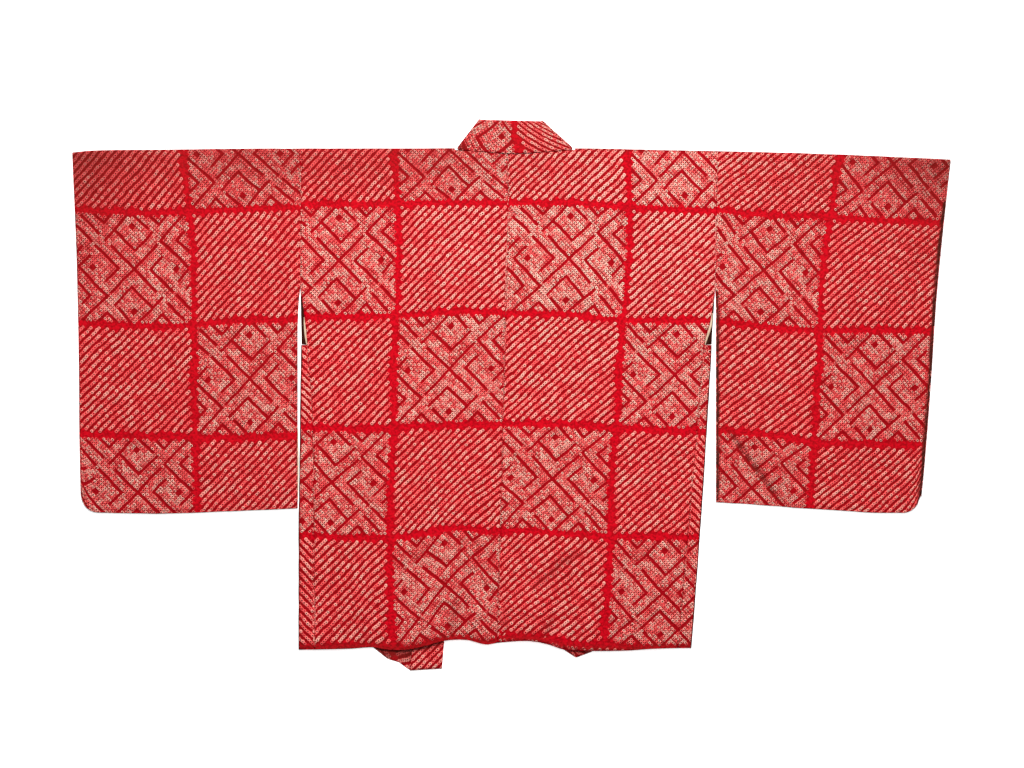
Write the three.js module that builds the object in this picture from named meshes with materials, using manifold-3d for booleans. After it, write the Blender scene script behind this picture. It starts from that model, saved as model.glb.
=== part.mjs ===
// A haori, the short jacket worn over a kimono, laid flat with its back up.
// Millimetres. +X runs across the back, +Y from the hem to the collar, +Z up from the surface it lies on.
// Every piece is cut from one narrow cloth: two body panels that run from the front hem over the shoulder
// to the back hem, two sleeves folded at the top, two side gussets and one long collar band. The fronts,
// the lower walls of the sleeves and the collar's front lengths rest on the surface.

import * as THREE from 'three';
import { mergeVertices } from 'three/addons/utils/BufferGeometryUtils.js';
import Module from 'manifold-3d';

const wasm = await Module();
wasm.setup();

// ---- Driving dimensions ----

const WALL = 1.6; // outer cloth with its lining
const COLLAR_WALL = 2.4; // the collar band, folded double
const LINING_WALL = 1.0; // the lining where it stands alone
const SEAM = 0.3; // gap between two pieces that are sewn together

const LOWER = WALL / 2; // middle of the walls that rest on the surface
const UPPER = 3.9; // middle of the walls that lie on them
const COLLAR_LOWER = COLLAR_WALL / 2;
const COLLAR_UPPER = 4.1;
const LINING_HEIGHT = 2.4; // middle of the lining, between the two walls

const UNDERARM_Y = 154; // the sleeves are sewn to the body above this line
const GUSSET_TOP_Y = 72; // the gussets run from here to the hem
const FRONT_STEP_Y = 80; // the front's free edge steps in to the gusset from here
const WRIST_Y = 120; // the sleeves' outer edge is open above this line and sewn below it
const CORNER_RADIUS = 24; // round lower outer corner of a sleeve
const FOLD_STEPS = 4; // faces round a folded edge

const COLLAR_REST = 4; // the back stays on the collar this far past its free edge
const OPENING_SAG = 1.5; // how far the back sinks between the two front edges
const COLLAR_RIDGE = 0.5; // how far the collar lifts the back that lies on it
const FULL_SAG_WIDTH = 60; // half width of the opening where the sag is complete

/** Rows with named columns, from the columns' names and one list of numbers a row. */
function table(columns, rows) {
  const names = columns.split(' ');
  return rows.map((row) => Object.fromEntries(names.map((name, index) => [name, row[index]])));
}

// Edges that run up and down: x at a height y.
const SLEEVE_CUFF = {
  left: table('y x', [[350, -633], [208, -627], [60, -623.6], [-72, -622.4], [-171, -620]]),
  right: table('y x', [[340, 633], [274, 625.6], [144, 612.7], [14, 604], [-94, 595.6], [-171, 588]]),
};
const ARMHOLE = {
  left: table('y x', [[356, -303], [UNDERARM_Y, -304.4]]),
  right: table('y x', [[352, 297.2], [UNDERARM_Y, 293.8]]),
};
const SLEEVE_OPENING = {
  left: table('y x', [[UNDERARM_Y, -304.4], [136, -306.6], [98, -308.2], [-165, -308.2]]),
  right: table('y x', [[UNDERARM_Y, 293.8], [120, 294.6], [-156, 294.6]]),
};
const FLANK = {
  left: table('y x', [
    [UNDERARM_Y, -304.4], [105, -297.4], [GUSSET_TOP_Y, -294.2], [-43, -286.6], [-367, -283.6],
  ]),
  right: table('y x', [[UNDERARM_Y, 293.8], [105, 286.4], [GUSSET_TOP_Y, 278], [-50, 267.6], [-365, 240]]),
};
const FRONT_ARMHOLE = {
  left: table('y x', [[UNDERARM_Y, -304.4], [FRONT_STEP_Y, -302.6], [GUSSET_TOP_Y, -294.2]]),
  right: table('y x', [[UNDERARM_Y, 293.8], [FRONT_STEP_Y, 288.8], [GUSSET_TOP_Y, 278]]),
};
const GUSSET_FOLD = {
  left: table('y x', [[GUSSET_TOP_Y, -303.2], [0, -304.6], [-115, -306], [-180, -307.2], [-367, -307.4]]),
  right: table('y x', [[GUSSET_TOP_Y, 288.9], [0, 285], [-147, 275.8], [-266, 267.2], [-365, 259.6]]),
};
const COLLAR_SEAM = {
  left: table('y x', [[356, -81.4], [-400, -146.4]]),
  right: table('y x', [[356, 91.4], [-372, 116]]),
};
const COLLAR_EDGE = {
  left: table('y x', [[396, -47], [354, -35.4], [0, -67.6], [-397, -100.4]]),
  right: table('y x', [[395, 44], [354, 45.4], [0, 59], [-372, 73]]),
};
const CENTRE_BACK = table('y x', [[349, -5], [270, -5], [-360, -20.6]]);

// Edges that run across: y at a place x.
const SLEEVE_TOP = {
  left: table('x y', [[-633, 350], [-600, 352.8], [-500, 354], [-360, 355.6], [-303, 355.7]]),
  right: table('x y', [[296, 351.8], [378, 350], [508, 345.6], [633, 339.6]]),
};
const SLEEVE_HEM = {
  left: table('x y', [[-622, -169.6], [-503, -171.4], [-416, -168.5], [-308, -163.8]]),
  right: table('x y', [[294, -155], [369, -160], [473, -167], [520, -170], [588, -170.4]]),
};
const SHOULDER = {
  left: table('x y', [[-304, 355.7], [-81.4, 355.7]]),
  right: table('x y', [[91.4, 355.7], [128, 355.4], [214, 353.4], [297, 351.8]]),
};
const NECKLINE = table('x y', [[-81.4, 353.2], [-40, 349.8], [0, 347.4], [45, 349.6], [91.4, 353.2]]);
const BACK_HEM = table('x y', [
  [-307, -367.2], [-235, -365.8], [-200, -363.6], [-182, -366.8], [-153, -367], [-124, -361.4],
  [-100, -354.6], [-66, -352.8], [-37, -359.6], [-21, -357.4], [0, -355.6], [22, -354.2],
  [50, -358.6], [76, -367], [110, -368.8], [165, -368.4], [205, -365.8], [260, -364.3],
]);
const FRONT_HEM = {
  left: table('x y', [[-308, -362], [-202, -362], [-178, -381], [-163, -385], [-146.5, -397]]),
  right: table('x y', [[116, -369.6], [160, -362], [260, -361]]),
};

// The collar's lower ends, from the seam to the free edge, and its folded corners at the neck.
const COLLAR_END = {
  left: table('x y', [[-146.2, -397.4], [-100.2, -394.6]]),
  right: table('x y', [[73, -365.8], [93, -378.8], [115.8, -370.2]]),
};
const NECK_CORNER = {
  left: { seam: { x: -77, y: 354.4 }, edge: { x: -46.8, y: 395 } },
  right: { seam: { x: 87, y: 354.4 }, edge: { x: 43.9, y: 394 } },
};

// Where the lining shows past an edge: from one height to the other, and how far it stands out.
const LINING_SHOWS = table('name side bottom top out', [
  ['lining_underarm_left', 'left', 70, 112, 3.0],
  ['lining_underarm_right', 'right', 70, 118, 3.6],
]);
const SLEEVE_LINING = { bottom: -152, top: -48, out: 1.6 };
const LINING_TUCK = 10; // how far the lining reaches in under the wall

// The largest folds: a soft ridge, or a trough where the height is negative, on the upper walls.
const FOLDS = table('x y angle length width height', [
  [-118, -326, 78, 110, 24, 2.1],
  [-48, -330, 96, 100, 20, 2.5],
  [28, -322, 84, 110, 26, 2.8],
  [78, -330, 104, 80, 18, -1.0],
  [118, -312, 68, 110, 24, 1.9],
  [30, -262, 34, 80, 15, -1.0],
  [64, -246, 34, 90, 20, 1.9],
  [364, -92, -54, 160, 15, 2.8],
  [334, -114, -54, 110, 12, -0.8],
  [396, -76, -50, 110, 24, 1.2],
  [-560, 304, -8, 120, 16, 1.4],
  [-452, 288, 6, 120, 18, 1.2],
  [-334, -30, 86, 240, 20, 1.2],
  [470, 96, -82, 220, 30, 1.3],
  [-262, -190, 88, 280, 24, 1.2],
  [226, -120, -86, 260, 26, 1.2],
]);

// ---- Curves through the tables ----

const mix = (from, to, share) => from + (to - from) * share;
const smooth = (share) => share * share * (3 - 2 * share);
const clamp = (value, low, high) => Math.min(Math.max(value, low), high);

/** A function of one column that passes smoothly through a table's rows. */
function curve(rows, key, out) {
  const sorted = [...rows].sort((a, b) => a[key] - b[key]);
  const last = sorted.length - 1;
  const slope = (low, high) => (
    (sorted[high][out] - sorted[low][out]) / (sorted[high][key] - sorted[low][key]));
  const tangent = sorted.map((row, index) => slope(Math.max(index - 1, 0), Math.min(index + 1, last)));
  return (at) => {
    if (at <= sorted[0][key]) return sorted[0][out] + slope(0, 1) * (at - sorted[0][key]);
    if (at >= sorted[last][key]) return sorted[last][out] + slope(last - 1, last) * (at - sorted[last][key]);
    const next = sorted.findIndex((row) => row[key] > at);
    const [low, high] = [sorted[next - 1], sorted[next]];
    const width = high[key] - low[key];
    const t = (at - low[key]) / width;
    const bend = t * (1 - t) * width * (tangent[next - 1] * (1 - t) - tangent[next] * t);
    return mix(low[out], high[out], smooth(t)) + bend;
  };
}

/** A function of one column that is straight between a table's rows. */
function line(rows, key, out) {
  const sorted = [...rows].sort((a, b) => a[key] - b[key]);
  return (at) => {
    const above = sorted.findIndex((row) => row[key] > at);
    const next = above < 0 ? sorted.length - 1 : Math.max(above, 1);
    const [low, high] = [sorted[next - 1], sorted[next]];
    return mix(low[out], high[out], (at - low[key]) / (high[key] - low[key]));
  };
}

/** Lines spread evenly between neighbouring edges, counts[i] steps from edges[i] to edges[i + 1]. */
function spread(edges, counts) {
  const lines = [edges[0]];
  counts.forEach((count, index) => {
    for (let step = 1; step <= count; step += 1) {
      lines.push((at) => mix(edges[index](at), edges[index + 1](at), step / count));
    }
  });
  return lines;
}

const CROSSING_PASSES = 6; // enough for lines that are nearly at right angles

/** Where a line down the cloth crosses a line across it. */
function crossing(down, across) {
  const point = { x: 0, y: 0 };
  for (let pass = 0; pass < CROSSING_PASSES; pass += 1) {
    point.x = down(point.y);
    point.y = across(point.x);
  }
  return point;
}

// ---- Edges of the pieces ----

const centreBack = curve(CENTRE_BACK, 'y', 'x');
const neckline = curve(NECKLINE, 'x', 'y');
const backHem = curve(BACK_HEM, 'x', 'y');

/** The seam lines and edges of one side of the garment. */
function sideEdges(side) {
  const armhole = line(ARMHOLE[side], 'y', 'x');
  const flank = curve(FLANK[side], 'y', 'x');
  const frontArmhole = line(FRONT_ARMHOLE[side], 'y', 'x');
  const sleeveOpening = line(SLEEVE_OPENING[side], 'y', 'x');
  return {
    outward: side === 'left' ? -1 : 1,
    cuff: curve(SLEEVE_CUFF[side], 'y', 'x'),
    sleeveInner: (y) => (y > UNDERARM_Y ? armhole(y) : sleeveOpening(y)),
    sleeveTop: curve(SLEEVE_TOP[side], 'x', 'y'),
    sleeveHem: curve(SLEEVE_HEM[side], 'x', 'y'),
    backSide: (y) => (y > UNDERARM_Y ? armhole(y) : flank(y)),
    frontSide: (y) => (y > UNDERARM_Y ? armhole(y) : y > GUSSET_TOP_Y ? frontArmhole(y) : flank(y)),
    flank,
    gussetFold: curve(GUSSET_FOLD[side], 'y', 'x'),
    shoulder: curve(SHOULDER[side], 'x', 'y'),
    frontHem: line(FRONT_HEM[side], 'x', 'y'),
    collarSeam: curve(COLLAR_SEAM[side], 'y', 'x'),
    collarEdge: curve(COLLAR_EDGE[side], 'y', 'x'),
  };
}

const SIDES = { left: sideEdges('left'), right: sideEdges('right') };

// ---- Heights of the upper walls ----

/** Height that one fold adds at a place. */
function foldHeight(fold, x, y) {
  const angle = THREE.MathUtils.degToRad(fold.angle);
  const along = (x - fold.x) * Math.cos(angle) + (y - fold.y) * Math.sin(angle);
  const across = (y - fold.y) * Math.cos(angle) - (x - fold.x) * Math.sin(angle);
  const taper = Math.exp(-((2 * along / fold.length) ** 4));
  return fold.height * taper * Math.exp(-((across / fold.width) ** 2));
}

/** How far the back lies above or below its usual height over the collar and the front opening. */
function overCollar(x, y) {
  const restsLeft = SIDES.left.collarEdge(y) + COLLAR_REST;
  const restsRight = SIDES.right.collarEdge(y) - COLLAR_REST;
  const half = (restsRight - restsLeft) / 2;
  const inside = half - Math.abs(x - (restsLeft + restsRight) / 2);
  const sag = (COLLAR_RIDGE + OPENING_SAG) * smooth(clamp(half / FULL_SAG_WIDTH, 0, 1));
  if (inside > 0) return COLLAR_RIDGE - sag * smooth(clamp(inside / (half / 2), 0, 1));
  const outside = Math.max(SIDES.left.collarSeam(y) - x, x - SIDES.right.collarSeam(y));
  return COLLAR_RIDGE * smooth(clamp(1 - outside / FULL_SAG_WIDTH, 0, 1));
}

/** Middle of the upper wall of the body and the sleeves. */
function upperHeight(x, y) {
  const folds = FOLDS.reduce((sum, fold) => sum + foldHeight(fold, x, y), 0);
  return UPPER + overCollar(x, y) + folds;
}

const upperPoint = ({ x, y }) => new THREE.Vector3(x, y, upperHeight(x, y));
const lowerPoint = ({ x, y }) => new THREE.Vector3(x, y, LOWER);

/** Points round a folded edge, from one wall to the other, bulging along `out`; both ends left out. */
function foldPoints(start, end, out) {
  const middle = start.clone().lerp(end, 0.5);
  const radius = start.distanceTo(end) / 2;
  const points = [];
  for (let step = 1; step < FOLD_STEPS; step += 1) {
    const angle = Math.PI * step / FOLD_STEPS;
    const arm = start.clone().sub(middle).multiplyScalar(Math.cos(angle));
    points.push(middle.clone().add(arm).addScaledVector(out, radius * Math.sin(angle)));
  }
  return points;
}

/** How far a folded edge's walls stop short of its outline. */
const foldInset = WALL / 2 + (UPPER - LOWER) / 2;

// ---- Walls of cloth ----

/**
 * A closed wall of even thickness round a grid of points, which are the middle of the cloth.
 * A null point leaves the cells round it out. A closed grid joins its last column to its first.
 */
function clothGeometry(points, wall, closed = false) {
  const columns = points[0].length;
  const cells = [];
  for (let row = 0; row < points.length - 1; row += 1) {
    for (let column = 0; column < (closed ? columns : columns - 1); column += 1) {
      const next = (column + 1) % columns;
      const cell = [[row, column], [row, next], [row + 1, next], [row + 1, column]];
      if (cell.every(([r, c]) => points[r][c])) cells.push(cell.map(([r, c]) => r * columns + c));
    }
  }
  const middle = points.flat();
  const normals = middle.map(() => new THREE.Vector3());
  for (const cell of cells) {
    const [a, b, c, d] = cell.map((index) => middle[index]);
    const normal = c.clone().sub(a).cross(d.clone().sub(b));
    cell.forEach((index) => normals[index].add(normal));
  }
  const position = [];
  const shift = (side) => middle.forEach((point, index) => {
    const moved = (point ?? new THREE.Vector3()).clone();
    position.push(...moved.addScaledVector(normals[index].clone().normalize(), side * wall / 2));
  });
  shift(1);
  shift(-1);
  const geometry = new THREE.BufferGeometry();
  geometry.setAttribute('position', new THREE.Float32BufferAttribute(position, 3));
  geometry.setIndex(wallFaces(cells, middle.length));
  return geometry;
}

/** Faces of a wall: the cells on its outer side, the same turned over inside, and a rim round them. */
function wallFaces(cells, inner) {
  const faces = [];
  const edges = new Set();
  for (const [a, b, c, d] of cells) {
    faces.push(a, b, c, a, c, d);
    faces.push(a + inner, c + inner, b + inner, a + inner, d + inner, c + inner);
    [[a, b], [b, c], [c, d], [d, a]].forEach(([from, to]) => edges.add(`${from} ${to}`));
  }
  for (const edge of edges) {
    const [from, to] = edge.split(' ').map(Number);
    if (!edges.has(`${to} ${from}`)) {
      faces.push(to, from, from + inner, to, from + inner, to + inner);
    }
  }
  return faces;
}

/** A geometry as a solid that can be joined. */
function toSolid(geometry) {
  const merged = mergeVertices(geometry);
  const mesh = new wasm.Mesh({
    numProp: 3,
    vertProperties: merged.attributes.position.array,
    triVerts: new Uint32Array(merged.index.array),
  });
  return new wasm.Manifold(mesh);
}

/** A joined solid as a geometry. */
function toGeometry(solid) {
  const mesh = solid.getMesh();
  const geometry = new THREE.BufferGeometry();
  geometry.setAttribute('position', new THREE.BufferAttribute(mesh.vertProperties, 3));
  geometry.setIndex(new THREE.BufferAttribute(mesh.triVerts, 1));
  return geometry;
}

// ---- Sleeves ----

const SLEEVE_COLUMNS = 13; // stations between the round corner and the armhole
const SLEEVE_ROWS = { aboveUnderarm: 8, belowUnderarm: 12, lowerWall: 6 };
const SEAM_ROWS = 10;
const CORNER_STATIONS = [0, 0.08, 0.3, 0.62, 1]; // shares of the corner radius, from the outer edge

/** How far the sleeve's lower edge rises in its round corner, at a distance from the outer edge. */
function cornerRise(distance) {
  const inside = CORNER_RADIUS - Math.min(distance, CORNER_RADIUS);
  return CORNER_RADIUS - Math.sqrt(CORNER_RADIUS ** 2 - inside ** 2);
}

/** One ring round the flattened sleeve, at one line down the cloth. */
function sleeveRing(edges, down) {
  const top = (x) => edges.sleeveTop(x) - foldInset;
  const bottom = (x) => {
    const distance = edges.outward * (edges.cuff(edges.sleeveHem(x)) - x);
    return edges.sleeveHem(x) + cornerRise(Math.max(distance, 0)) + foldInset;
  };
  const { aboveUnderarm, belowUnderarm, lowerWall } = SLEEVE_ROWS;
  const rows = spread([top, () => UNDERARM_Y, bottom], [aboveUnderarm, belowUnderarm]);
  const upper = rows.map((across) => upperPoint(crossing(down, across)));
  const lower = spread([bottom, top], [lowerWall]).map((across) => lowerPoint(crossing(down, across)));
  const hemFold = foldPoints(upper.at(-1), lower[0], new THREE.Vector3(0, -1, 0));
  const topFold = foldPoints(lower.at(-1), upper[0], new THREE.Vector3(0, 1, 0));
  return [...upper, ...hemFold, ...lower, ...topFold];
}

/** The seam that closes the sleeve's outer edge, from below the wrist to the round corner. */
function sleeveSeam(edges) {
  const cuff = (y) => edges.cuff(y) - edges.outward * WALL / 2;
  const cornerY = edges.sleeveHem(edges.cuff(WRIST_Y)) + CORNER_RADIUS;
  const rows = spread([() => WRIST_Y, () => cornerY], [SEAM_ROWS]);
  const path = rows.map((across) => crossing(cuff, across));
  return clothGeometry(path.map((point) => [lowerPoint(point), upperPoint(point)]), WALL);
}

/** A sleeve: a tube pressed flat, open at the wrist and along its inner edge. */
function sleeve(side) {
  const edges = SIDES[side];
  const inner = (y) => edges.sleeveInner(y) + edges.outward * SEAM / 2;
  const corner = (y) => edges.cuff(y) - edges.outward * CORNER_RADIUS;
  const cornerLines = CORNER_STATIONS.map((share) => (y) => mix(edges.cuff(y), corner(y), share));
  const lines = [...cornerLines, ...spread([corner, inner], [SLEEVE_COLUMNS]).slice(1)];
  const tube = clothGeometry(lines.map((down) => sleeveRing(edges, down)), WALL, true);
  return toGeometry(toSolid(tube).add(toSolid(sleeveSeam(edges))));
}

// ---- Body panels ----

const BODY_COLUMNS = { toCollar: 10, onCollar: 2, inOpening: 2, toCentre: 2 };
const FLANK_ROWS = 17; // from the gusset's top to the hem, the same in every piece sewn there
const BACK_ROWS = { aboveUnderarm: 9, underarm: 4 };
const FRONT_ROWS = { step: 1, armhole: 2, aboveUnderarm: 4 };

/** A body panel: from the front hem up the front, over the shoulder and down the back. */
function bodyPanel(side) {
  const edges = SIDES[side];
  const { outward } = edges;
  const backSide = (y) => edges.backSide(y) - outward * SEAM / 2;
  const frontSide = (y) => edges.frontSide(y) - outward * SEAM / 2;
  const collarSeam = (y) => edges.collarSeam(y) + outward * SEAM / 2;
  const centre = (y) => centreBack(y) + outward * SEAM / 2;
  const ledge = (y) => edges.collarEdge(y) - outward * COLLAR_REST;
  const foot = (y) => mix(ledge(y), centre(y), 0.5);
  const { toCollar, onCollar, inOpening, toCentre } = BODY_COLUMNS;
  const backLines = spread(
    [backSide, collarSeam, ledge, foot, centre],
    [toCollar, onCollar, inOpening, toCentre],
  );
  const frontLines = spread([frontSide, collarSeam], [toCollar]);
  const shoulder = (x) => edges.shoulder(x) - foldInset;
  const neck = (x) => neckline(x) - SEAM / 2;

  const frontBands = [edges.frontHem, () => GUSSET_TOP_Y, () => FRONT_STEP_Y, () => UNDERARM_Y, shoulder];
  const { step, armhole, aboveUnderarm } = FRONT_ROWS;
  const frontRows = spread(frontBands, [FLANK_ROWS, step, armhole, aboveUnderarm]);
  const absent = Array(backLines.length - frontLines.length).fill(null);
  const front = frontRows.map((across) => [
    ...frontLines.map((down) => lowerPoint(crossing(down, across))), ...absent]);

  const backRow = (top) => spread(
    [top, () => UNDERARM_Y, () => GUSSET_TOP_Y, backHem],
    [BACK_ROWS.aboveUnderarm, BACK_ROWS.underarm, FLANK_ROWS],
  );
  const [rowsBelowShoulder, rowsBelowNeck] = [backRow(shoulder), backRow(neck)];
  const back = rowsBelowShoulder.map((belowShoulder, row) => backLines.map((down, column) => {
    const across = column > toCollar ? rowsBelowNeck[row] : belowShoulder;
    return upperPoint(crossing(down, across));
  }));

  const fold = frontLines.map((down, column) => (
    foldPoints(front.at(-1)[column], back[0][column], new THREE.Vector3(0, 1, 0))));
  const foldRows = [];
  for (let row = 0; row < FOLD_STEPS - 1; row += 1) {
    foldRows.push([...fold.map((points) => points[row]), ...absent]);
  }
  return clothGeometry([...front, ...foldRows, ...back], WALL);
}

// ---- Side gussets ----

/** A gusset: folded along its middle, one half in line with the front and one with the back. */
function gusset(side) {
  const edges = SIDES[side];
  const seam = (y) => edges.flank(y) + edges.outward * SEAM / 2;
  const flat = (y) => edges.gussetFold(y) - edges.outward * foldInset;
  const rows = spread([() => GUSSET_TOP_Y, backHem], [FLANK_ROWS]);
  const grid = rows.map((across) => {
    const lower = spread([seam, flat], [1]).map((down) => lowerPoint(crossing(down, across)));
    const upper = spread([flat, seam], [1]).map((down) => upperPoint(crossing(down, across)));
    const fold = foldPoints(lower.at(-1), upper[0], new THREE.Vector3(edges.outward, 0, 0));
    return [...lower, ...fold, ...upper];
  });
  return clothGeometry(grid, WALL);
}

// ---- Collar ----

const COLLAR_ROWS = { front: 18, back: 5 };
const COLLAR_COLUMNS = 3;
const CORNER_LAP = 3; // how far a front length reaches past its folded corner
const CORNER_TURN = 0.06; // share of a front length, at its top, where it swings over to its corner

/** The direction in which the collar's folded corner bulges, away from the neck. */
function cornerNormal(side) {
  const { seam, edge } = NECK_CORNER[side];
  const normal = new THREE.Vector3(seam.y - edge.y, edge.x - seam.x, 0).normalize();
  return normal.multiplyScalar(-SIDES[side].outward);
}

/** A front length of the collar, from the hem up and round its folded corner at the neck. */
function collarFront(side) {
  const edges = SIDES[side];
  const corner = NECK_CORNER[side];
  const end = line(COLLAR_END[side], 'x', 'y');
  const seam = (y) => edges.collarSeam(y) - edges.outward * SEAM / 2;
  const rows = [];
  for (let row = 0; row <= COLLAR_ROWS.front; row += 1) {
    const share = row / COLLAR_ROWS.front;
    rows.push(Array.from({ length: COLLAR_COLUMNS + 1 }, (unused, column) => {
      const across = column / COLLAR_COLUMNS;
      const down = (y) => mix(seam(y), edges.collarEdge(y), across);
      const low = crossing(down, end);
      const y = mix(low.y, mix(corner.seam.y, corner.edge.y, across), share);
      const cornerX = mix(corner.seam.x, corner.edge.x, across);
      const x = mix(down(y), cornerX, clamp(1 - (1 - share) / CORNER_TURN, 0, 1));
      return new THREE.Vector3(x, y, COLLAR_LOWER);
    }));
  }
  const out = cornerNormal(side);
  const last = rows.at(-1);
  const raised = last.map((point) => point.clone().setZ(COLLAR_UPPER));
  const folds = last.map((point, column) => foldPoints(point, raised[column], out));
  for (let row = 0; row < FOLD_STEPS - 1; row += 1) rows.push(folds.map((points) => points[row]));
  rows.push(raised);
  rows.push(raised.map((point) => point.clone().setX(point.x - edges.outward * CORNER_LAP)));
  return clothGeometry(rows, COLLAR_WALL);
}

/** The collar behind the neck, between its two folded corners. */
function collarBack() {
  const { left, right } = NECK_CORNER;
  const shift = (side) => SIDES[side].outward * (CORNER_LAP + SEAM / Math.abs(cornerNormal(side).x));
  const rows = [];
  for (let row = 0; row <= COLLAR_ROWS.back; row += 1) {
    const share = row / COLLAR_ROWS.back;
    rows.push(Array.from({ length: COLLAR_COLUMNS + 1 }, (unused, column) => {
      const across = column / COLLAR_COLUMNS;
      const leftX = mix(left.seam.x, left.edge.x, across) - shift('left');
      const rightX = mix(right.seam.x, right.edge.x, across) - shift('right');
      const x = mix(leftX, rightX, share);
      const seamY = neckline(mix(left.seam.x, right.seam.x, share)) + SEAM / 2;
      const edgeY = mix(left.edge.y, right.edge.y, share);
      return new THREE.Vector3(x, mix(seamY, edgeY, across), COLLAR_UPPER);
    }));
  }
  return clothGeometry(rows, COLLAR_WALL);
}

// ---- Lining where it shows ----

const LINING_ROWS = 6;
const LINING_ENDS = 0.12; // how far into its swell the strip starts, and stops before the end

/** A strip of lining that follows an edge, from under the wall to just past it. */
function liningStrip(edge, outward, { bottom, top, out }) {
  const rows = [];
  for (let row = 0; row <= LINING_ROWS; row += 1) {
    const y = mix(bottom, top, row / LINING_ROWS);
    const shown = out * Math.sin(Math.PI * mix(LINING_ENDS, 1 - LINING_ENDS, row / LINING_ROWS));
    rows.push([shown, -LINING_TUCK].map((reach) => (
      new THREE.Vector3(edge(y) + outward * reach, y, LINING_HEIGHT))));
  }
  return clothGeometry(rows, LINING_WALL);
}

// ---- The garment ----

const SHIBORI_SILK = { color: 0xd75f58, roughness: 0.8, metalness: 0 };
const LINING_SILK = { color: 0xe9d9bd, roughness: 0.6, metalness: 0 };

/** A named piece of cloth. */
function piece(name, geometry, cloth) {
  const mesh = new THREE.Mesh(geometry, new THREE.MeshStandardMaterial({ ...cloth, name }));
  mesh.name = name;
  return mesh;
}

const haori = new THREE.Group();
for (const side of ['left', 'right']) {
  haori.add(piece(`body_${side}`, bodyPanel(side), SHIBORI_SILK));
  haori.add(piece(`sleeve_${side}`, sleeve(side), SHIBORI_SILK));
  haori.add(piece(`gusset_${side}`, gusset(side), SHIBORI_SILK));
  haori.add(piece(`collar_${side}`, collarFront(side), SHIBORI_SILK));
}
haori.add(piece('collar_back', collarBack(), SHIBORI_SILK));
for (const { name, side, ...strip } of LINING_SHOWS) {
  const { backSide, outward } = SIDES[side];
  haori.add(piece(name, liningStrip(backSide, outward, strip), LINING_SILK));
}
const sleeveLining = liningStrip(SIDES.left.sleeveInner, 1, SLEEVE_LINING);
haori.add(piece('lining_sleeve_left', sleeveLining, LINING_SILK));

export default haori;
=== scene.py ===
"""A haori, the short jacket worn over a kimono, laid flat with its back up.

Metres, in the frame of its solids: +X across the back, +Y from the hem to the collar, +Z up.
"""

import math

import bpy
import numpy as np
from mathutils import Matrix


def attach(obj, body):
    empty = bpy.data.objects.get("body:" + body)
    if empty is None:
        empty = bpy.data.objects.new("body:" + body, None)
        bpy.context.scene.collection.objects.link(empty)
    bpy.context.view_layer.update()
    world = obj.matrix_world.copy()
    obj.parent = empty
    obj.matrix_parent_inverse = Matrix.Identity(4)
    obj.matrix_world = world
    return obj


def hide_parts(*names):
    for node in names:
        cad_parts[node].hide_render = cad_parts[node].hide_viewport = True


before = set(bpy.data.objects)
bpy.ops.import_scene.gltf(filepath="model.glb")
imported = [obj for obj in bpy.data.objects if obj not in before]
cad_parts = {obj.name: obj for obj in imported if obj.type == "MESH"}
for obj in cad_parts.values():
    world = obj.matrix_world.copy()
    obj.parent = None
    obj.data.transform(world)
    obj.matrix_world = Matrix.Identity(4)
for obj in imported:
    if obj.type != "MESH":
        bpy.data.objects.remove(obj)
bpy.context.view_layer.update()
bpy.ops.object.select_all(action="DESELECT")

# ---- The cloth ----
# Red silk from a narrow bolt, tied dot by dot before dyeing. Each dot stays as a small pale ring with
# a dark heart and puckers up. Blocks of slanting stripes and of key fret alternate, with plain bands
# between them. A block is BLOCK steps high; two stand side by side, with a plain band in the middle.

STEP = 2.85  # millimetres from one line of dots to the next, across the cloth and along it
BLOCK = 56
MIDDLE = {"left": -30, "right": 28}  # steps from the plain band to the middle of each block
BAND = 1  # the plain bands' half width
PLAIN_EDGE = 26  # a block's dots end this many steps above and below its middle

# Plain lines of the key fret, one dot wide. Lines "/" rise to the right. Each has its place along the
# other direction and its two ends, in dots from the block's middle. The fret is the same upside down.
FRET = (
    ("/", 0, 0, 12), ("/", 0, 14, 26), ("/", 4, -23, -18), ("/", 4, 5, 10), ("/", 4, 18, 22),
    ("/", 4, -14, -5), ("/", 14, 8, 14), ("/", 14, -13, 0), ("/", 18, -9, -4), ("/", 18, 8, 14),
    ("\\", 0, 0, 11), ("\\", 0, 17, 25), ("\\", 4, 4, 15), ("\\", 4, 17, 25), ("\\", 14, 0, 14),
    ("\\", -5, 4, 13), ("\\", -14, 6, 12), ("\\", -4, 18, 22), ("\\", -18, 4, 9), ("\\", 18, 4, 13),
)
FRET_SQUARE, SQUARE_HALF = 10.5, 0.9  # four diamonds have a plain square here, this far to its sides


def fret_line(up, down):
    """True where a dot of the key fret is left out, `up` along "/" and `down` along "\\"."""
    turn = (down < 0) | ((down == 0) & (up < 0))
    up, down = np.where(turn, -up, up), np.where(turn, -down, down)
    plain = (abs(abs(up) - FRET_SQUARE) < SQUARE_HALF) & (abs(abs(down) - FRET_SQUARE) < SQUARE_HALF)
    for direction, place, first, last in FRET:
        along, across = (up, down) if direction == "/" else (down, up)
        plain |= (across == place) & (along >= first) & (along <= last)
    return plain


def striped(u, v):
    """True in the blocks of stripes."""
    return (np.floor(v / BLOCK) + (u > 0)) % 2 == 0


def dots(u, v):
    """1 where a dot is tied, at whole steps u across the cloth and v along it, and 0 elsewhere."""
    block = np.floor(v / BLOCK)
    right = u > 0
    across = u - np.where(right, MIDDLE["right"], MIDDLE["left"])
    along = v - BLOCK * (block + 0.5)
    up, down = (across - along) / 2, (across + along) / 2
    stripes = striped(u, v)
    plain = np.where(stripes, down % 2 != 0, fret_line(up, down))
    plain |= (abs(u) <= BAND) | (abs(along) > PLAIN_EDGE) | ((u + v) % 2 != 0)
    return np.where(plain, 0.0, 1.0)


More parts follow.
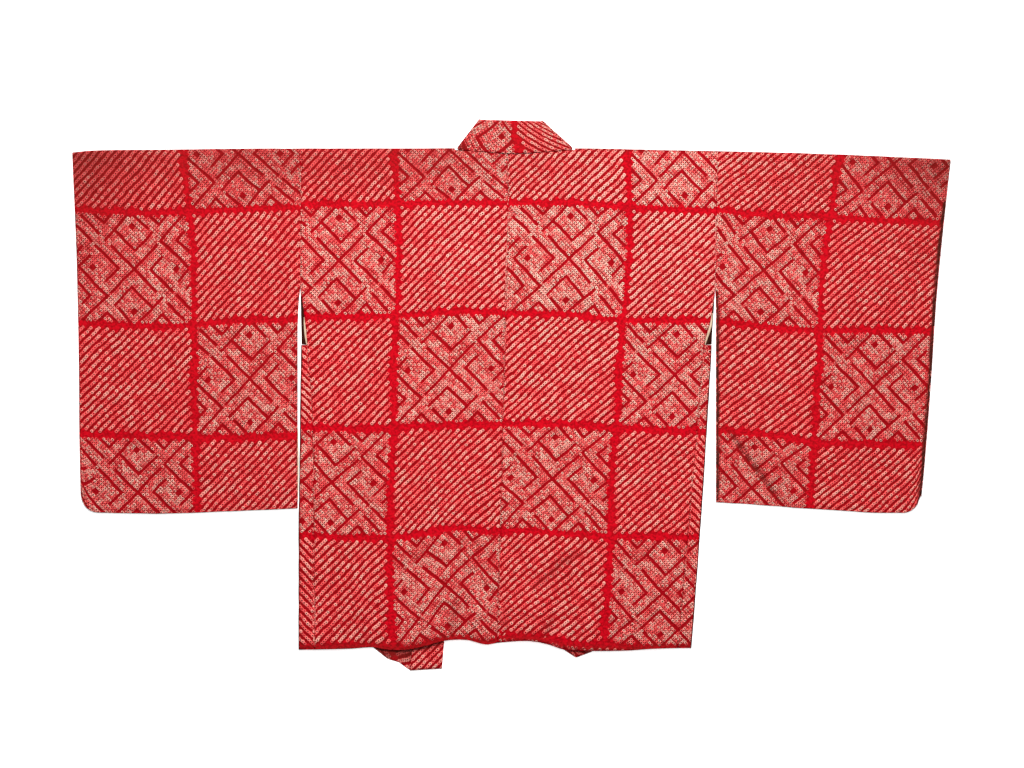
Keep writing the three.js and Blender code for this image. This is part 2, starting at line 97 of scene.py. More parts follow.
def between(start, end, share):
    """The number this share of the way from start to end."""
    return share * (end - start) + start


class Value:
    """A number, colour or place that a material works out, with the arithmetic on it."""

    def __init__(self, socket):
        self.socket, self.tree = socket, socket.id_data

    def __add__(self, other):
        return calc("ADD", self, other)

    def __sub__(self, other):
        return calc("SUBTRACT", self, other)

    def __rsub__(self, other):
        return calc("SUBTRACT", other, self)

    def __mul__(self, other):
        return calc("MULTIPLY", self, other)

    def __truediv__(self, other):
        return calc("DIVIDE", self, other)


def feed(value, socket):
    """Gives a node's input a worked-out value, or a plain number or colour."""
    if isinstance(value, Value):
        value.tree.links.new(value.socket, socket)
    else:
        socket.default_value = value


def calc(operation, *values):
    """One step of arithmetic in a material."""
    tree = next(value.tree for value in values if isinstance(value, Value))
    node = tree.nodes.new("ShaderNodeMath")
    node.operation = operation
    for value, socket in zip(values, node.inputs):
        feed(value, socket)
    return Value(node.outputs[0])


def length_of(across, along):
    """How long the way is that goes this far across and this far along."""
    return calc("SQRT", across * across + along * along)


def vector(x, y, z):
    """A place made of three numbers."""
    node = x.tree.nodes.new("ShaderNodeCombineXYZ")
    for value, socket in zip((x, y, z), node.inputs):
        feed(value, socket)
    return Value(node.outputs["Vector"])


def blend(share, first, second):
    """A colour between two colours, each worked out or given as red, green and blue."""
    node = share.tree.nodes.new("ShaderNodeMix")
    node.data_type = "RGBA"
    feed(share, node.inputs["Factor"])
    for name, colour in (("A", first), ("B", second)):
        socket = next(s for s in node.inputs if s.name == name and s.type == "RGBA")
        feed(colour if isinstance(colour, Value) else (*colour, 1), socket)
    return Value(next(s for s in node.outputs if s.type == "RGBA"))


def soft_edge(value, start, end):
    """0 before start and 1 past end, with a soft change between them."""
    node = value.tree.nodes.new("ShaderNodeMapRange")
    node.interpolation_type = "SMOOTHSTEP"
    feed(value, node.inputs["Value"])
    node.inputs["From Min"].default_value = start
    node.inputs["From Max"].default_value = end
    return Value(node.outputs["Result"])


def noise(source, scale, detail=2):
    """A soft random pattern from 0 to 1."""
    node = source.tree.nodes.new("ShaderNodeTexNoise")
    feed(source, node.inputs["Vector"])
    node.inputs["Scale"].default_value = scale
    node.inputs["Detail"].default_value = detail
    return Value(node.outputs["Fac"])


def relief(height, shader, depth, strength=1.0):
    """Small relief of this height, up to a depth in metres."""
    bump = height.tree.nodes.new("ShaderNodeBump")
    bump.inputs["Distance"].default_value = depth
    bump.inputs["Strength"].default_value = strength
    feed(height, bump.inputs["Height"])
    height.tree.links.new(bump.outputs["Normal"], shader.inputs["Normal"])


def new_material(name, looks):
    """A material with these numbers set on its shader, its node tree and that shader."""
    material = bpy.data.materials.new(name)
    material.use_nodes = True
    shader = material.node_tree.nodes["Principled BSDF"]
    for socket, value in looks.items():
        shader.inputs[socket].default_value = value
    return material, material.node_tree, shader


DYED_RED = (0.49, 0.0, 0.007)
# the fret's plain lines: the same dyed red, darkened with painted shade from the dots puffed up beside them
FRET_LINE_SHADE_RED = (0.26, 0.0, 0.003)
# painted shade: the ground between the dots, darker than the plain bands as if the puckers shaded it
PUCKER_SHADE_RED = (0.24, 0.0, 0.002)
# painted shade in the hollows of the crumpled ground
CRUMPLE_SHADE_RED = (0.17, 0.0, 0.001)
WORN_RED = (0.66, 0.002, 0.012)
SHADE_BROWN = (0.035, 0.008, 0.004)
RING_CREAM = (1.0, 0.76, 0.60)
RING_PINK = (0.94, 0.10, 0.10)
HEART_MAROON = (0.09, 0.0, 0.002)
LIGHT_POOL_PLACE = (0.13, 0.26, 0.0)  # metres: a painted pool of light, the dots palest round here and pinker further away

# The dots, in steps. Where a pair isn't said to be a range, it is for the stripes and for the fret.
OFF_PLACE = 0.11  # how far off its place a dot may be tied
SQUEEZE_UP, SQUEEZE_DOWN = (0.84, 1.17), (0.98, 0.92)  # of the ring, along "/" and along "\\"
RING_SIZE, RING_BLUR = (0.45, 0.57), 0.10  # a range, and how soft the ring's outer edge is
HEART_EDGE = (0.22, 0.36)  # a range in which the dark heart fades
HEART_DEPTH, DEEPER_FRET = (0.75, 1.05), 0.12  # a range, and how much darker hearts are in the fret
GROOVE_SPREAD = (7.3, 0.16, 3.7)  # how grooves differ: from each other, along one, and by block
GROOVE_WIDTH, GROOVE_EDGE = (-0.28, 0.47), (-0.06, 0.08)  # ranges; below 0 there is no groove
GROOVE_SHADE = 0.8  # how much of the rings the painted shade in a groove hides
RAGGED = 0.72  # dots beside a plain band are missing if their luck is above this

# The rings' colour, from cream at 0 to pink at 1, as the sum of these.
PLACE_PINK, PLACE_EDGE = (0.28, 0.46), (0.04, 0.36)  # ranges: of pink, and of metres from the middle of the painted pool of light
CREAMIER_FRET = 0.08
DOME_SHADE_PINK = 0.6  # painted shade down the sides of each dot's dome: this much pinker for each step from the dot's middle
LUCK_PINK = (0.6, 0.9)  # how much the dots differ
PATCH_PINK, PATCH_SCALE = (0.4, -0.1), 32  # a range, in soft patches
SHADE_PINK = 0.55  # where the cloth is in shade

WEAR, WEAR_SCALE = 0.25, 14  # how far the ground's red drifts, in large soft patches
CRUMPLE, CRUMPLE_SCALE, CRUMPLE_EDGE = 0.6, 300, (0.36, 0.60)  # and how far painted shade darkens it in the crumple's hollows
DOME_EDGE, PIT, PUCKER = (0.15, 0.62), 0.7, 0.5  # a dot's dome, the pit in it, and their height
CRINKLE_SCALE, FINE, COARSE = 900, 0.25, 1.6  # the crinkle's fine share, and the crumple's


def shibori_material():
    """The dyed silk: every dot's ring and heart, the plain bands and lines, and the puckered surface."""
    looks = {"Roughness": 0.7, "Specular IOR Level": 0.05}
    material, tree, shader = new_material("tied_and_dyed_silk", looks)
    place = Value(tree.nodes.new("ShaderNodeTexCoord").outputs["Object"])
    steps = tree.nodes.new("ShaderNodeUVMap")
    steps.uv_map = "steps"
    split = tree.nodes.new("ShaderNodeSeparateXYZ")
    tree.links.new(steps.outputs["UV"], split.inputs["Vector"])
    u, v = Value(split.outputs["X"]), Value(split.outputs["Y"])
    shade = tree.nodes.new("ShaderNodeAttribute")
    shade.attribute_name = "shade"
    shade = Value(shade.outputs["Fac"])

    # Which block this is, and where in it.
    block = calc("FLOOR", v / BLOCK)
    right = calc("GREATER_THAN", u, 0)
    middle = between(MIDDLE["left"], MIDDLE["right"], right)
    across = u - middle
    along = v - (block + 0.5) * BLOCK
    up, down = (across - along) * 0.5, (across + along) * 0.5
    fret = calc("ABSOLUTE", calc("MODULO", block + right, 2))

    # The nearest dot: every second row is plain in the stripes.
    row = 2 - fret
    dot_down = calc("ROUND", down / row) * row
    dot_up = calc("ROUND", up)
    dot_across = dot_up + dot_down + middle
    dot_along = calc("ABSOLUTE", dot_down - dot_up)

    # Each dot is tied a little differently.
    chance = tree.nodes.new("ShaderNodeTexWhiteNoise")
    chance.noise_dimensions = "3D"
    feed(vector(dot_across + 0.5, dot_up + 0.5, block), chance.inputs["Vector"])
    chances = tree.nodes.new("ShaderNodeSeparateColor")
    tree.links.new(chance.outputs["Color"], chances.inputs["Color"])
    luck = [Value(chances.outputs[channel]) for channel in ("Red", "Green", "Blue")]
    away_up = up - dot_up - between(-OFF_PLACE, OFF_PLACE, luck[0])
    away_down = down - dot_down - between(-OFF_PLACE, OFF_PLACE, luck[1])
    from_heart = length_of(away_up, away_down)
    away = length_of(away_up * between(*SQUEEZE_UP, fret), away_down * between(*SQUEEZE_DOWN, fret))

    # In the fret some rows "\\" stand apart, with painted shade in the groove between them.
    groove = calc("FLOOR", up)
    to_groove = calc("ABSOLUTE", up - groove - 0.5)
    stretch = vector(*[value * by for value, by in zip((groove, down, block), GROOVE_SPREAD)])
    groove_width = between(*GROOVE_WIDTH, noise(stretch, 1, 1))
    groove = (1 - soft_edge(to_groove - groove_width, *GROOVE_EDGE)) * fret

    # Plain bands round the blocks, a little ragged, and the plain lines and squares of the fret.
    ragged = calc("GREATER_THAN", luck[2], RAGGED)
    band = calc("MAXIMUM", calc("COMPARE", dot_across, 0, ragged + (BAND + 0.5)),
                calc("GREATER_THAN", dot_along + ragged, PLAIN_EDGE + 0.5))
    left_half = calc("COMPARE", dot_down, 0, 0.5) * calc("LESS_THAN", dot_up, -0.5)
    turn = between(1, -1, calc("MAXIMUM", calc("LESS_THAN", dot_down, -0.5), left_half))
    fret_up, fret_down = dot_up * turn, dot_down * turn
    in_square = [calc("COMPARE", calc("ABSOLUTE", way), FRET_SQUARE, SQUARE_HALF)
                 for way in (fret_up, fret_down)]
    plain = in_square[0] * in_square[1]
    for direction, line_place, first, last in FRET:
        line_along, line_across = (fret_up, fret_down) if direction == "/" else (fret_down, fret_up)
        on_line = calc("COMPARE", line_across, line_place, 0.5)
        reached = calc("COMPARE", line_along, (first + last) / 2, (last - first) / 2 + 0.5)
        plain = calc("MAXIMUM", plain, on_line * reached)
    dotted = 1 - calc("MAXIMUM", plain * fret, band)

    # Colours, from the ground up.
    # Painted shade darkens the ground between the dots and on the fret's plain lines.
    ground = blend(dotted, blend(band, FRET_LINE_SHADE_RED, DYED_RED), PUCKER_SHADE_RED)
    ground = blend(noise(place, WEAR_SCALE) * WEAR, ground, WORN_RED)
    # Painted shade: the ground darkens in the crumple's hollows, where its relief is lowest.
    crumple = noise(place, CRUMPLE_SCALE, 3)
    ground = blend((1 - soft_edge(crumple, *CRUMPLE_EDGE)) * CRUMPLE, ground, CRUMPLE_SHADE_RED)
    ring = 1 - soft_edge(away - between(*RING_SIZE, luck[2]), -RING_BLUR, RING_BLUR)
    # The groove's painted shade hides part of the rings.
    ring = ring * dotted * (1 - groove * GROOVE_SHADE)
    heart = 1 - soft_edge(from_heart, *HEART_EDGE)
    # A painted pool of light: the rings are palest round one place and pinker further away.
    to_light_pool = tree.nodes.new("ShaderNodeVectorMath")
    to_light_pool.operation = "DISTANCE"
    feed(place, to_light_pool.inputs[0])
    to_light_pool.inputs[1].default_value = LIGHT_POOL_PLACE
    pink = between(*PLACE_PINK, soft_edge(Value(to_light_pool.outputs["Value"]), *PLACE_EDGE))
    # Painted shade makes each ring pinker down the sides of its dome.
    pink = pink - fret * CREAMIER_FRET + away * DOME_SHADE_PINK + (luck[0] - 0.5) * between(*LUCK_PINK, fret)
    pink = pink + between(*PATCH_PINK, noise(place, PATCH_SCALE)) + shade * SHADE_PINK
    colour = blend(ring, ground, blend(pink, RING_CREAM, RING_PINK))
    heart_depth = calc("MINIMUM", between(*HEART_DEPTH, luck[1]) + fret * DEEPER_FRET, 1)
    colour = blend(heart * heart_depth * dotted, colour, HEART_MAROON)
    feed(blend(shade, colour, SHADE_BROWN), shader.inputs["Base Color"])

    # The ring stands up round its heart, over a fine crinkle.
    raised = (1 - soft_edge(away, *DOME_EDGE) - heart * PIT) * dotted * PUCKER
    crinkle = noise(place, CRINKLE_SCALE, 3) * FINE + crumple * COARSE
    relief(raised + crinkle, shader, depth=0.001, strength=0.8)
    return material


SHIBORI = shibori_material()

# ---- Body panels ----
# Two lengths of the cloth, each from the front hem over the shoulder to the back hem, sewn together
# down the middle of the back. The fronts lie underneath, and the back lies on them and on the collar.

MM = 0.001
CLOTH = 1.2  # outer cloth and lining, in millimetres like the tables below
LOWER = 0.8  # middle of the walls that rest on the surface
UPPER = 3.9  # middle of the walls that lie on them
FOLD_INSET = 2.35  # a folded edge's walls stop this far short of its outline
UNDERARM_Y = 154
GUSSET_TOP_Y = 72
EDGE_DROP = 0.8  # seams and hems lie this much lower than the cloth beside them
COLLAR_INSET, COLLAR_EASE = 4, 60  # the back bends this far inside the collar's edge, over this length
COLLAR_LIFT, OPENING_SAG = 0.5, 2.0  # it lies this much higher there, and lower between the fronts
DOT_RISE, RISE_VARIES = 1.1, 0.35  # how far a tied dot puckers up, and by what share dots differ
ALONG_ROW = 0.85  # share of that height where two dots of one row meet
BETWEEN_ROWS = 0.3  # and where dots of two rows meet
CRINKLE = 0.3  # how far plain cloth crinkles up or down
RIPPLE = 0.5  # how far the whole cloth ripples
GROUND_DROP = 0.25  # how far the ground lies under the walls' usual surface
LINE_SWAY = ((1.1, 30, 3), (0.6, 11, 4))  # how lines down the cloth sway: how far, over what length, seed
ROW_SWAY = ((0.9, 30, 8), (0.5, 10, 9))  # and how rows across it do
ROW_EASE = 12  # steps from either end in which the rows come to sway
PASSES = 6  # enough to find where a line down the cloth crosses one across it

# How dark the cloth is, from 0 to 1.
SEAM_SHADE, SEAM_SHADE_X = 0.35, 200  # along seams and the hem, up to this far from the middle
EDGE_SHADE, EDGE_BLUR = 0.95, 1.4  # in the strip that rolls under at a free edge, and how softly it ends
NO_STRIP = (0, -1000)  # the width of a strip that isn't there, and its top
CREASE_SHADE, DEEP_CREASE = 0.62, 2.0  # in a crease at least this deep
SHOULDER_SHADE = 0.27  # along the shoulders above SHADE_Y, but for PALE_WIDTH either side of PALE_X
SHADE_Y, TOP_Y = 225, 356
PALE_X, PALE_WIDTH = 230, 230
CORNER_SHADE = 0.25  # more of it at the sleeves' upper corners
CORNER_X, CORNER_Y = (500, 630), (60, 350)  # from none to all of it
SLEEVE_SHADE, SLEEVE_X = 0.06, 300  # and all over the sleeves
LOW_HEM_SHADE, LOW_HEM_REACH = 0.40, 15  # and just above the back's hem

# Edges that run up and down, as heights and places: (y, x).
ARMHOLE = {"left": [(356, -303), (154, -304.4)], "right": [(352, 297.2), (154, 293.8)]}
FLANK = {
    "left": [(154, -304.4), (105, -297.4), (72, -294.2), (-43, -286.6), (-367, -283.6)],
    "right": [(154, 293.8), (105, 286.4), (72, 278), (-50, 267.6), (-365, 240)],
}
FRONT_ARMHOLE = {
    "left": [(154, -304.4), (80, -302.8), (73, -302.8), (72, -294.2)],
    "right": [(154, 293.8), (80, 288.8), (73, 288.8), (72, 278)],
}
COLLAR_SEAM = {"left": [(356, -81.4), (-400, -146.4)], "right": [(356, 91.4), (-372, 116)]}
COLLAR_EDGE = {
    "left": [(396, -47), (354, -35.4), (0, -67.6), (-397, -100.4)],
    "right": [(395, 44), (354, 45.4), (0, 59), (-372, 73)],
}
CENTRE_BACK = [(349, -5), (270, -5), (-360, -20.6)]
BODY_BAND = {
    "left": [(331, -167.8), (268, -163.4), (141, -163.8), (78, -168.6), (-17, -169.4), (-81, -170.6),
             (-176, -175.6), (-271, -175.2), (-334, -172.1)],
    "right": [(331, 167.8), (268, 170.6), (204, 169.2), (141, 164.9), (78, 157.7), (-17, 153.4),
              (-81, 147.6), (-144, 143.3), (-207, 141.8), (-271, 139), (-334, 134.6)],
}

# Edges and plain bands that run across: (x, y).
SHOULDER = [(-304, 355.7), (-81.4, 355.7), (91.4, 355.7), (128, 355.4), (214, 353.4), (297, 351.8)]
NECKLINE = [(-81.4, 353.2), (-40, 349.8), (0, 347.4), (45, 349.6), (91.4, 353.2)]
BACK_HEM = [
    (-307, -367.2), (-235, -365.8), (-200, -363.6), (-182, -366.8), (-153, -367), (-124, -361.4),
    (-100, -354.6), (-66, -352.8), (-37, -359.6), (-21, -357.4), (0, -355.6), (22, -354.2),
    (50, -358.6), (76, -367), (110, -368.8), (165, -368.4), (205, -365.8), (260, -364.3),
]
FRONT_HEM = {
    "left": [(-308, -362), (-202, -362), (-178, -381), (-163, -385), (-146.5, -397)],
    "right": [(116, -369.6), (160, -362), (260, -361)],
}
BODY_BANDS = (
    [(-296, 276.5), (-224, 275), (-146, 276), (-71, 276.5), (12, 277), (87, 277), (148, 272), (220, 268)],
    [(-296, 112.3), (-224, 112.5), (-146, 115.2), (-71, 120.5), (12, 117), (87, 115.2), (148, 108.6),
     (220, 108)],
    [(-296, -46), (-224, -49), (-146, -46), (-71, -43), (12, -41.8), (87, -42.4), (148, -47.5),
     (220, -50)],
    [(-296, -201.6), (-224, -205.9), (-146, -201.6), (-71, -191.5), (-31, -197.3), (12, -195.8),
     (87, -200.2), (148, -203), (220, -204.5)],
)
HEM_BAND = {
    "left": [(-296, -363.8), (-235, -362.8), (-200, -361), (-182, -365), (-153, -366.2), (-124, -360.8),
             (-100, -354), (-66, -352.2), (-37, -358.8), (-21, -356.4)],
    "right": [(-16, -347.6), (12, -347), (50, -351), (76, -356.6), (110, -359.6), (150, -361.4),
              (192, -365.2), (260, -363.6)],
}  # the middle of the last plain band, just above the back hem
LAST_BAND = BLOCK * 5  # its step
HEM_STEPS = 3  # steps of the next block that show below it
BODY_TOP_STEP = 28  # steps into the first block at the shoulder fold
FRONT_LAST_STEP = LAST_BAND + 26  # at the front hem

# The largest folds: x, y, angle, length, width, height. A ridge, or a trough where height is negative.
FOLDS = (
    (-118, -326, 78, 110, 24, 2.1), (-48, -330, 96, 100, 20, 2.5), (28, -322, 84, 110, 26, 2.8),
    (78, -330, 104, 80, 18, -1.0), (118, -312, 68, 110, 24, 1.9), (30, -262, 34, 80, 15, -1.0),
    (64, -246, 34, 90, 20, 1.9), (364, -92, -54, 160, 15, 2.8), (334, -114, -54, 110, 12, -0.8),
    (396, -76, -50, 110, 24, 1.2), (-560, 304, -8, 120, 16, 1.4), (-452, 288, 6, 120, 18, 1.2),
    (-334, -30, 86, 240, 20, 1.2), (470, 96, -82, 220, 30, 1.3), (-262, -190, 88, 280, 24, 1.2),
    (226, -120, -86, 260, 26, 1.2),
)
# Smaller creases between them.
CREASES = (
    (348, -100, -54, 150, 5.5, -2.3), (322, -140, -50, 90, 6, -1.0), (388, -104, -50, 90, 8, -1.0),
    (44, -268, 38, 60, 7, -1.4), (84, -236, 30, 56, 8, -1.3), (16, -300, 80, 60, 8, 1.1),
    (-84, -322, 84, 70, 9, -1.3), (-10, -334, 92, 50, 8, -1.3), (52, -340, 70, 50, 8, -1.4),
    (142, -286, 74, 90, 10, 0.6), (-150, -252, 86, 120, 12, 0.5), (96, 96, -84, 160, 14, 0.5),
    (-96, 60, 88, 190, 16, 0.5), (-232, 190, 84, 150, 14, 0.5), (232, 210, -84, 130, 14, 0.5),
    (196, -20, -80, 150, 14, 0.6), (-222, -60, 80, 160, 14, -0.5), (-540, 150, 82, 200, 18, 0.6),
    (-420, 60, -86, 210, 16, 0.6), (-360, 220, 84, 140, 14, -0.5), (-586, -60, 86, 150, 16, 0.6),
    (-500, -100, -84, 120, 14, 0.5), (420, 230, 84, 150, 16, 0.6), (560, 180, -80, 190, 18, 0.7),
    (500, -60, 78, 150, 14, 0.6), (396, 20, -80, 140, 12, 0.6), (586, 40, -84, 150, 14, -0.5),
    (300, 320, 12, 60, 10, 0.5), (-300, 322, -10, 60, 10, 0.5), (0, 300, 4, 150, 16, -0.4),
)


def curve(rows):
    """A smooth function through rows of place and value, straight beyond its ends."""
    at, value = np.array(sorted(rows), float).T
    width = np.diff(at)
    slope = np.diff(value) / width
    tangent = np.concatenate([slope[:1], (value[2:] - value[:-2]) / (at[2:] - at[:-2]), slope[-1:]])

    def through(x):
        low = np.clip(np.searchsorted(at, x) - 1, 0, len(width) - 1)
        share = (x - at[low]) / width[low]
        t = np.clip(share, 0, 1)
        bend = t * (1 - t) * width[low] * (tangent[low] * (1 - t) - tangent[low + 1] * t)
        beyond = (share - t) * width[low] * slope[low]
        return value[low] + np.diff(value)[low] * t * t * (3 - 2 * t) + bend + beyond
    return through


def line(rows):
    """A function that is straight between rows of place and value."""
    at, value = np.array(sorted(rows), float).T
    return lambda x: np.interp(x, at, value)


def ease(share):
    """0 to 1 with a soft start and end."""
    share = np.clip(share, 0, 1)
    return share * share * (3 - 2 * share)


def fold_heights(folds, x, y):
    """What a table of folds adds to the cloth's height at a place."""
    total = np.zeros(np.broadcast(x, y).shape)
    for fold_x, fold_y, angle, length, width, height in folds:
        turn = math.radians(angle)
        along = (x - fold_x) * math.cos(turn) + (y - fold_y) * math.sin(turn)
        across = (y - fold_y) * math.cos(turn) - (x - fold_x) * math.sin(turn)
        total += height * np.exp(-(2 * along / length) ** 4 - (across / width) ** 2)
    return total


def over_collar(x, y):
    """How far the back lies above or below its usual height over the collar and the front opening."""
    left = collar_edge["left"](y) + COLLAR_INSET
    right = collar_edge["right"](y) - COLLAR_INSET
    half = (right - left) / 2
    inside = half - abs(x - (left + right) / 2)
    sag = COLLAR_LIFT - OPENING_SAG * ease(half / COLLAR_EASE) * ease(2 * inside / half)
    outside = np.maximum(collar_seam["left"](y) - x, x - collar_seam["right"](y))
    return np.where(inside > 0, sag, COLLAR_LIFT * ease(1 - outside / COLLAR_EASE))


collar_edge = {side: curve(rows) for side, rows in COLLAR_EDGE.items()}
collar_seam = {side: curve(rows) for side, rows in COLLAR_SEAM.items()}
centre_back = curve(CENTRE_BACK)
armhole = {side: line(rows) for side, rows in ARMHOLE.items()}
flank = {side: curve(rows) for side, rows in FLANK.items()}
front_armhole = {side: line(rows) for side, rows in FRONT_ARMHOLE.items()}
OUTWARD = {"left": -1, "right": 1}


def upper_height(x, y):
    """Middle of the upper wall."""
    folds = fold_heights(FOLDS, x, y) + fold_heights(CREASES, x, y)
    return UPPER + over_collar(x, y) + folds + RIPPLE * wander(x, y, 19, 7)


def back_side(side, y):
    """The back's outer edge: the armhole seam, and below it the edge that the gusset is sewn to."""
    return np.where(y > UNDERARM_Y, armhole[side](y), flank[side](y))


def front_side(side, y):
    """The front's outer edge."""
    below = np.where(y > GUSSET_TOP_Y, front_armhole[side](y), flank[side](y))
    return np.where(y > UNDERARM_Y, armhole[side](y), below)


def wander(x, y, length, seed, size=64):
    """A soft random shift from -1 to 1 that changes over about `length`."""
    field = np.random.default_rng(seed).uniform(-1, 1, (size, size))
    column, row = np.floor(x / length), np.floor(y / length)
    across, up = ease(x / length - column), ease(y / length - row)
    column, row = column.astype(int) % (size - 1), row.astype(int) % (size - 1)
    low = field[row, column] * (1 - across) + field[row, column + 1] * across
    high = field[row + 1, column] * (1 - across) + field[row + 1, column + 1] * across
    return low * (1 - up) + high * up


def sway(x, y, waves):
    """Several random shifts on each other, from rows of how far, over what length, and the seed."""
    return sum(far * wander(x, y, length, seed) for far, length, seed in waves)


class Cloth:
    """A piece of cloth while it is made: its points, their steps on the bolt, and its faces."""

    def __init__(self):
        self.points, self.steps, self.shades, self.faces, self.count = [], [], [], [], 0

    def add(self, x, y, z, u, v, shade=0.0):
        """Adds points from arrays of one shape, and returns their numbers in that shape."""
        x, y, z, u, v, shade = np.broadcast_arrays(x, y, z, u, v, shade)
        self.points.append(np.stack([x, y, z], -1).reshape(-1, 3) * MM)
        self.steps.append(np.stack([u, v], -1).reshape(-1, 2))
        self.shades.append(shade.ravel())
        numbers = np.arange(self.count, self.count + x.size).reshape(x.shape)
        self.count += x.size
        return numbers

    def panel(self, grid, up=True):
        """Faces over a grid of points whose rows run down the cloth."""
        corners = [grid[:-1, :-1], grid[1:, :-1], grid[1:, 1:], grid[:-1, 1:]]
        a, b, c, d = [corner.ravel() for corner in (corners if up else corners[::-1])]
        self.faces.append(np.concatenate([np.stack([a, b, c], 1), np.stack([a, c, d], 1)]))

    def puckers(self, grid, middles):
        """Faces over a grid with a point in the middle of each square."""
        a, b = grid[:-1, :-1].ravel(), grid[1:, :-1].ravel()
        c, d = grid[1:, 1:].ravel(), grid[:-1, 1:].ravel()
        distinct = (a != b).astype(int) + (b != c) + (c != d) + (d != a)
        for start, end in ((a, b), (b, c), (c, d), (d, a)):
            faces = np.stack([start, end, middles.ravel()], 1)
            self.faces.append(faces[(distinct > 2) & (start != end)])

    def join(self, first, second, turned=False):
        """Faces between two lines of points that run side by side, however many each has."""
        points = np.concatenate(self.points)
        first = [n for i, n in enumerate(first) if i == 0 or n != first[i - 1]]
        second = [n for i, n in enumerate(second) if i == 0 or n != second[i - 1]]
        faces = []
        i = j = 0
        while i < len(first) - 1 or j < len(second) - 1:
            further_first = further_second = math.inf
            if i < len(first) - 1:
                further_first = np.sum((points[first[i + 1]] - points[second[j]]) ** 2)
            if j < len(second) - 1:
                further_second = np.sum((points[first[i]] - points[second[j + 1]]) ** 2)
            if further_first <= further_second:
                faces.append((first[i], second[j], first[i + 1]))
                i += 1
            else:
                faces.append((first[i], second[j], second[j + 1]))
                j += 1
        faces = np.array(faces)
        self.faces.append(faces[:, ::-1] if turned else faces)

    def finish(self, name, material):
        """The finished piece as an object."""
        faces = np.concatenate(self.faces)
        used, faces = np.unique(faces, return_inverse=True)
        faces = faces.reshape(-1, 3)
        mesh = bpy.data.meshes.new(name)
        mesh.from_pydata(np.concatenate(self.points)[used].tolist(), [], faces.tolist())
        layer = mesh.uv_layers.new(name="steps")
        layer.data.foreach_set("uv", np.concatenate(self.steps)[used][faces].astype(np.float32).ravel())
        shade = mesh.attributes.new("shade", "FLOAT", "POINT")
        shade.data.foreach_set("value", np.concatenate(self.shades)[used].astype(np.float32))
        mesh.polygons.foreach_set("use_smooth", np.ones(len(faces), bool))
        mesh.materials.append(material)
        mesh.update()
        piece = bpy.data.objects.new(name, mesh)
        bpy.context.collection.objects.link(piece)
        return piece


def near(distance, width):
    """1 in a strip of this width along an edge, and 0 further in."""
    return np.clip((width - distance) / EDGE_BLUR + 0.5, 0, 1)


def cloth_shade(x, y):
    """How dark the cloth is in its creases, along the shoulders, over the sleeves and above the hem."""
    crease = CREASE_SHADE * np.clip(-fold_heights(CREASES, x, y) / DEEP_CREASE, 0, 1) ** 2
    off_pale = 1 - np.exp(-((x - PALE_X) / PALE_WIDTH) ** 2)
    shoulder = SHOULDER_SHADE * off_pale * ease((y - SHADE_Y) / (TOP_Y - SHADE_Y)) ** 1.5
    out, up = [ease((at - low) / (high - low)) for at, (low, high) in ((abs(x), CORNER_X), (y, CORNER_Y))]
    above_hem = y - curve(BACK_HEM)(x)
    low = LOW_HEM_SHADE * ease(1 - above_hem / LOW_HEM_REACH) * (above_hem > -1)
    broad = shoulder + CORNER_SHADE * out * up + SLEEVE_SHADE * (abs(x) > SLEEVE_X)
    return np.maximum(np.maximum(crease, low), broad)


def lay_face(cloth, side, u, v, band, row, outer, inner, dark=(NO_STRIP, NO_STRIP),
             mark=lambda step: step, last_band=None):
    """The upper face of a panel, on the grid of its dots, cut at its outer and inner edges.

    `dark` holds how wide a strip of shade follows the left and the right edge, and from what height.
    The grid that it gives back runs from the outer edge to the inner one."""
    left, right = (outer, inner) if side == "left" else (inner, outer)
    across = u[None, :] * STEP
    y = row(np.zeros((len(v), len(u))), v[:, None])
    for _ in range(PASSES):
        free = band(y) + across + sway(across, y, LINE_SWAY)
        x = np.clip(free, left(y), right(y))
        y = row(x, v[:, None])
    cut_left, cut_right = free <= left(y), free >= right(y)
    edge = cut_left | cut_right
    edge[0] = edge[-1] = True
    grid_u, grid_v = np.broadcast_to(u, x.shape), np.broadcast_to(v[:, None], x.shape)
    rises = np.where(edge, 0, dots(mark(grid_u), grid_v))
    rises = rises * DOT_RISE * (1 + RISE_VARIES * wander(x * 9, y * 9, 11, 5))
    rises += np.where(edge | (rises > 0), 0, CRINKLE * wander(x, y, 2.1, 6))
    z = upper_height(x, y) + CLOTH / 2 - GROUND_DROP + rises - np.where(edge, EDGE_DROP, 0)
    steps_u = mark(np.where(edge, (x - band(y)) / STEP, u))
    steps_v = grid_v.astype(float)
    if last_band:
        steps_v = np.where(steps_v > LAST_BAND, LAST_BAND + (last_band(x) - y) / STEP, steps_v)
    shade = np.maximum(cloth_shade(x, y), np.where(edge & (abs(x) < SEAM_SHADE_X), SEAM_SHADE, 0))
    for distance, (width, top) in zip((x - left(y), right(y) - x), dark):
        shade = np.maximum(shade, EDGE_SHADE * near(distance, width) * (y < top))
    points = cloth.add(x, y, z, steps_u, steps_v, shade)

    # Past a cut edge the grid repeats its last point.
    first = np.maximum(cut_left.sum(1) - 1, 0)[:, None]
    last = len(u) - np.maximum(cut_right.sum(1), 1)[:, None]
    column = np.clip(np.arange(len(u))[None, :], first, last)
    grid = np.take_along_axis(points, column, 1)

    def mean(value):
        return (value[:-1, :-1] + value[1:, :-1] + value[1:, 1:] + value[:-1, 1:]) / 4
    kept = [np.take_along_axis(value, column, 1) for value in (x, y, z, rises, steps_u, steps_v, shade)]
    middle_x, middle_y, middle_z, middle_rise, *marks = [mean(value) for value in kept]
    falling = (u[None, :-1] + v[:-1, None]) % 2 == 0
    along_row = falling != striped(mark(u[None, :-1] + 0.5), v[:-1, None] + 0.5)
    middle_z = middle_z + middle_rise * (2 * np.where(along_row, ALONG_ROW, BETWEEN_ROWS) - 1)
    middles = cloth.add(middle_x, middle_y, middle_z, *marks)
    cloth.puckers(grid, middles)
    return grid if side == "left" else grid[:, ::-1]


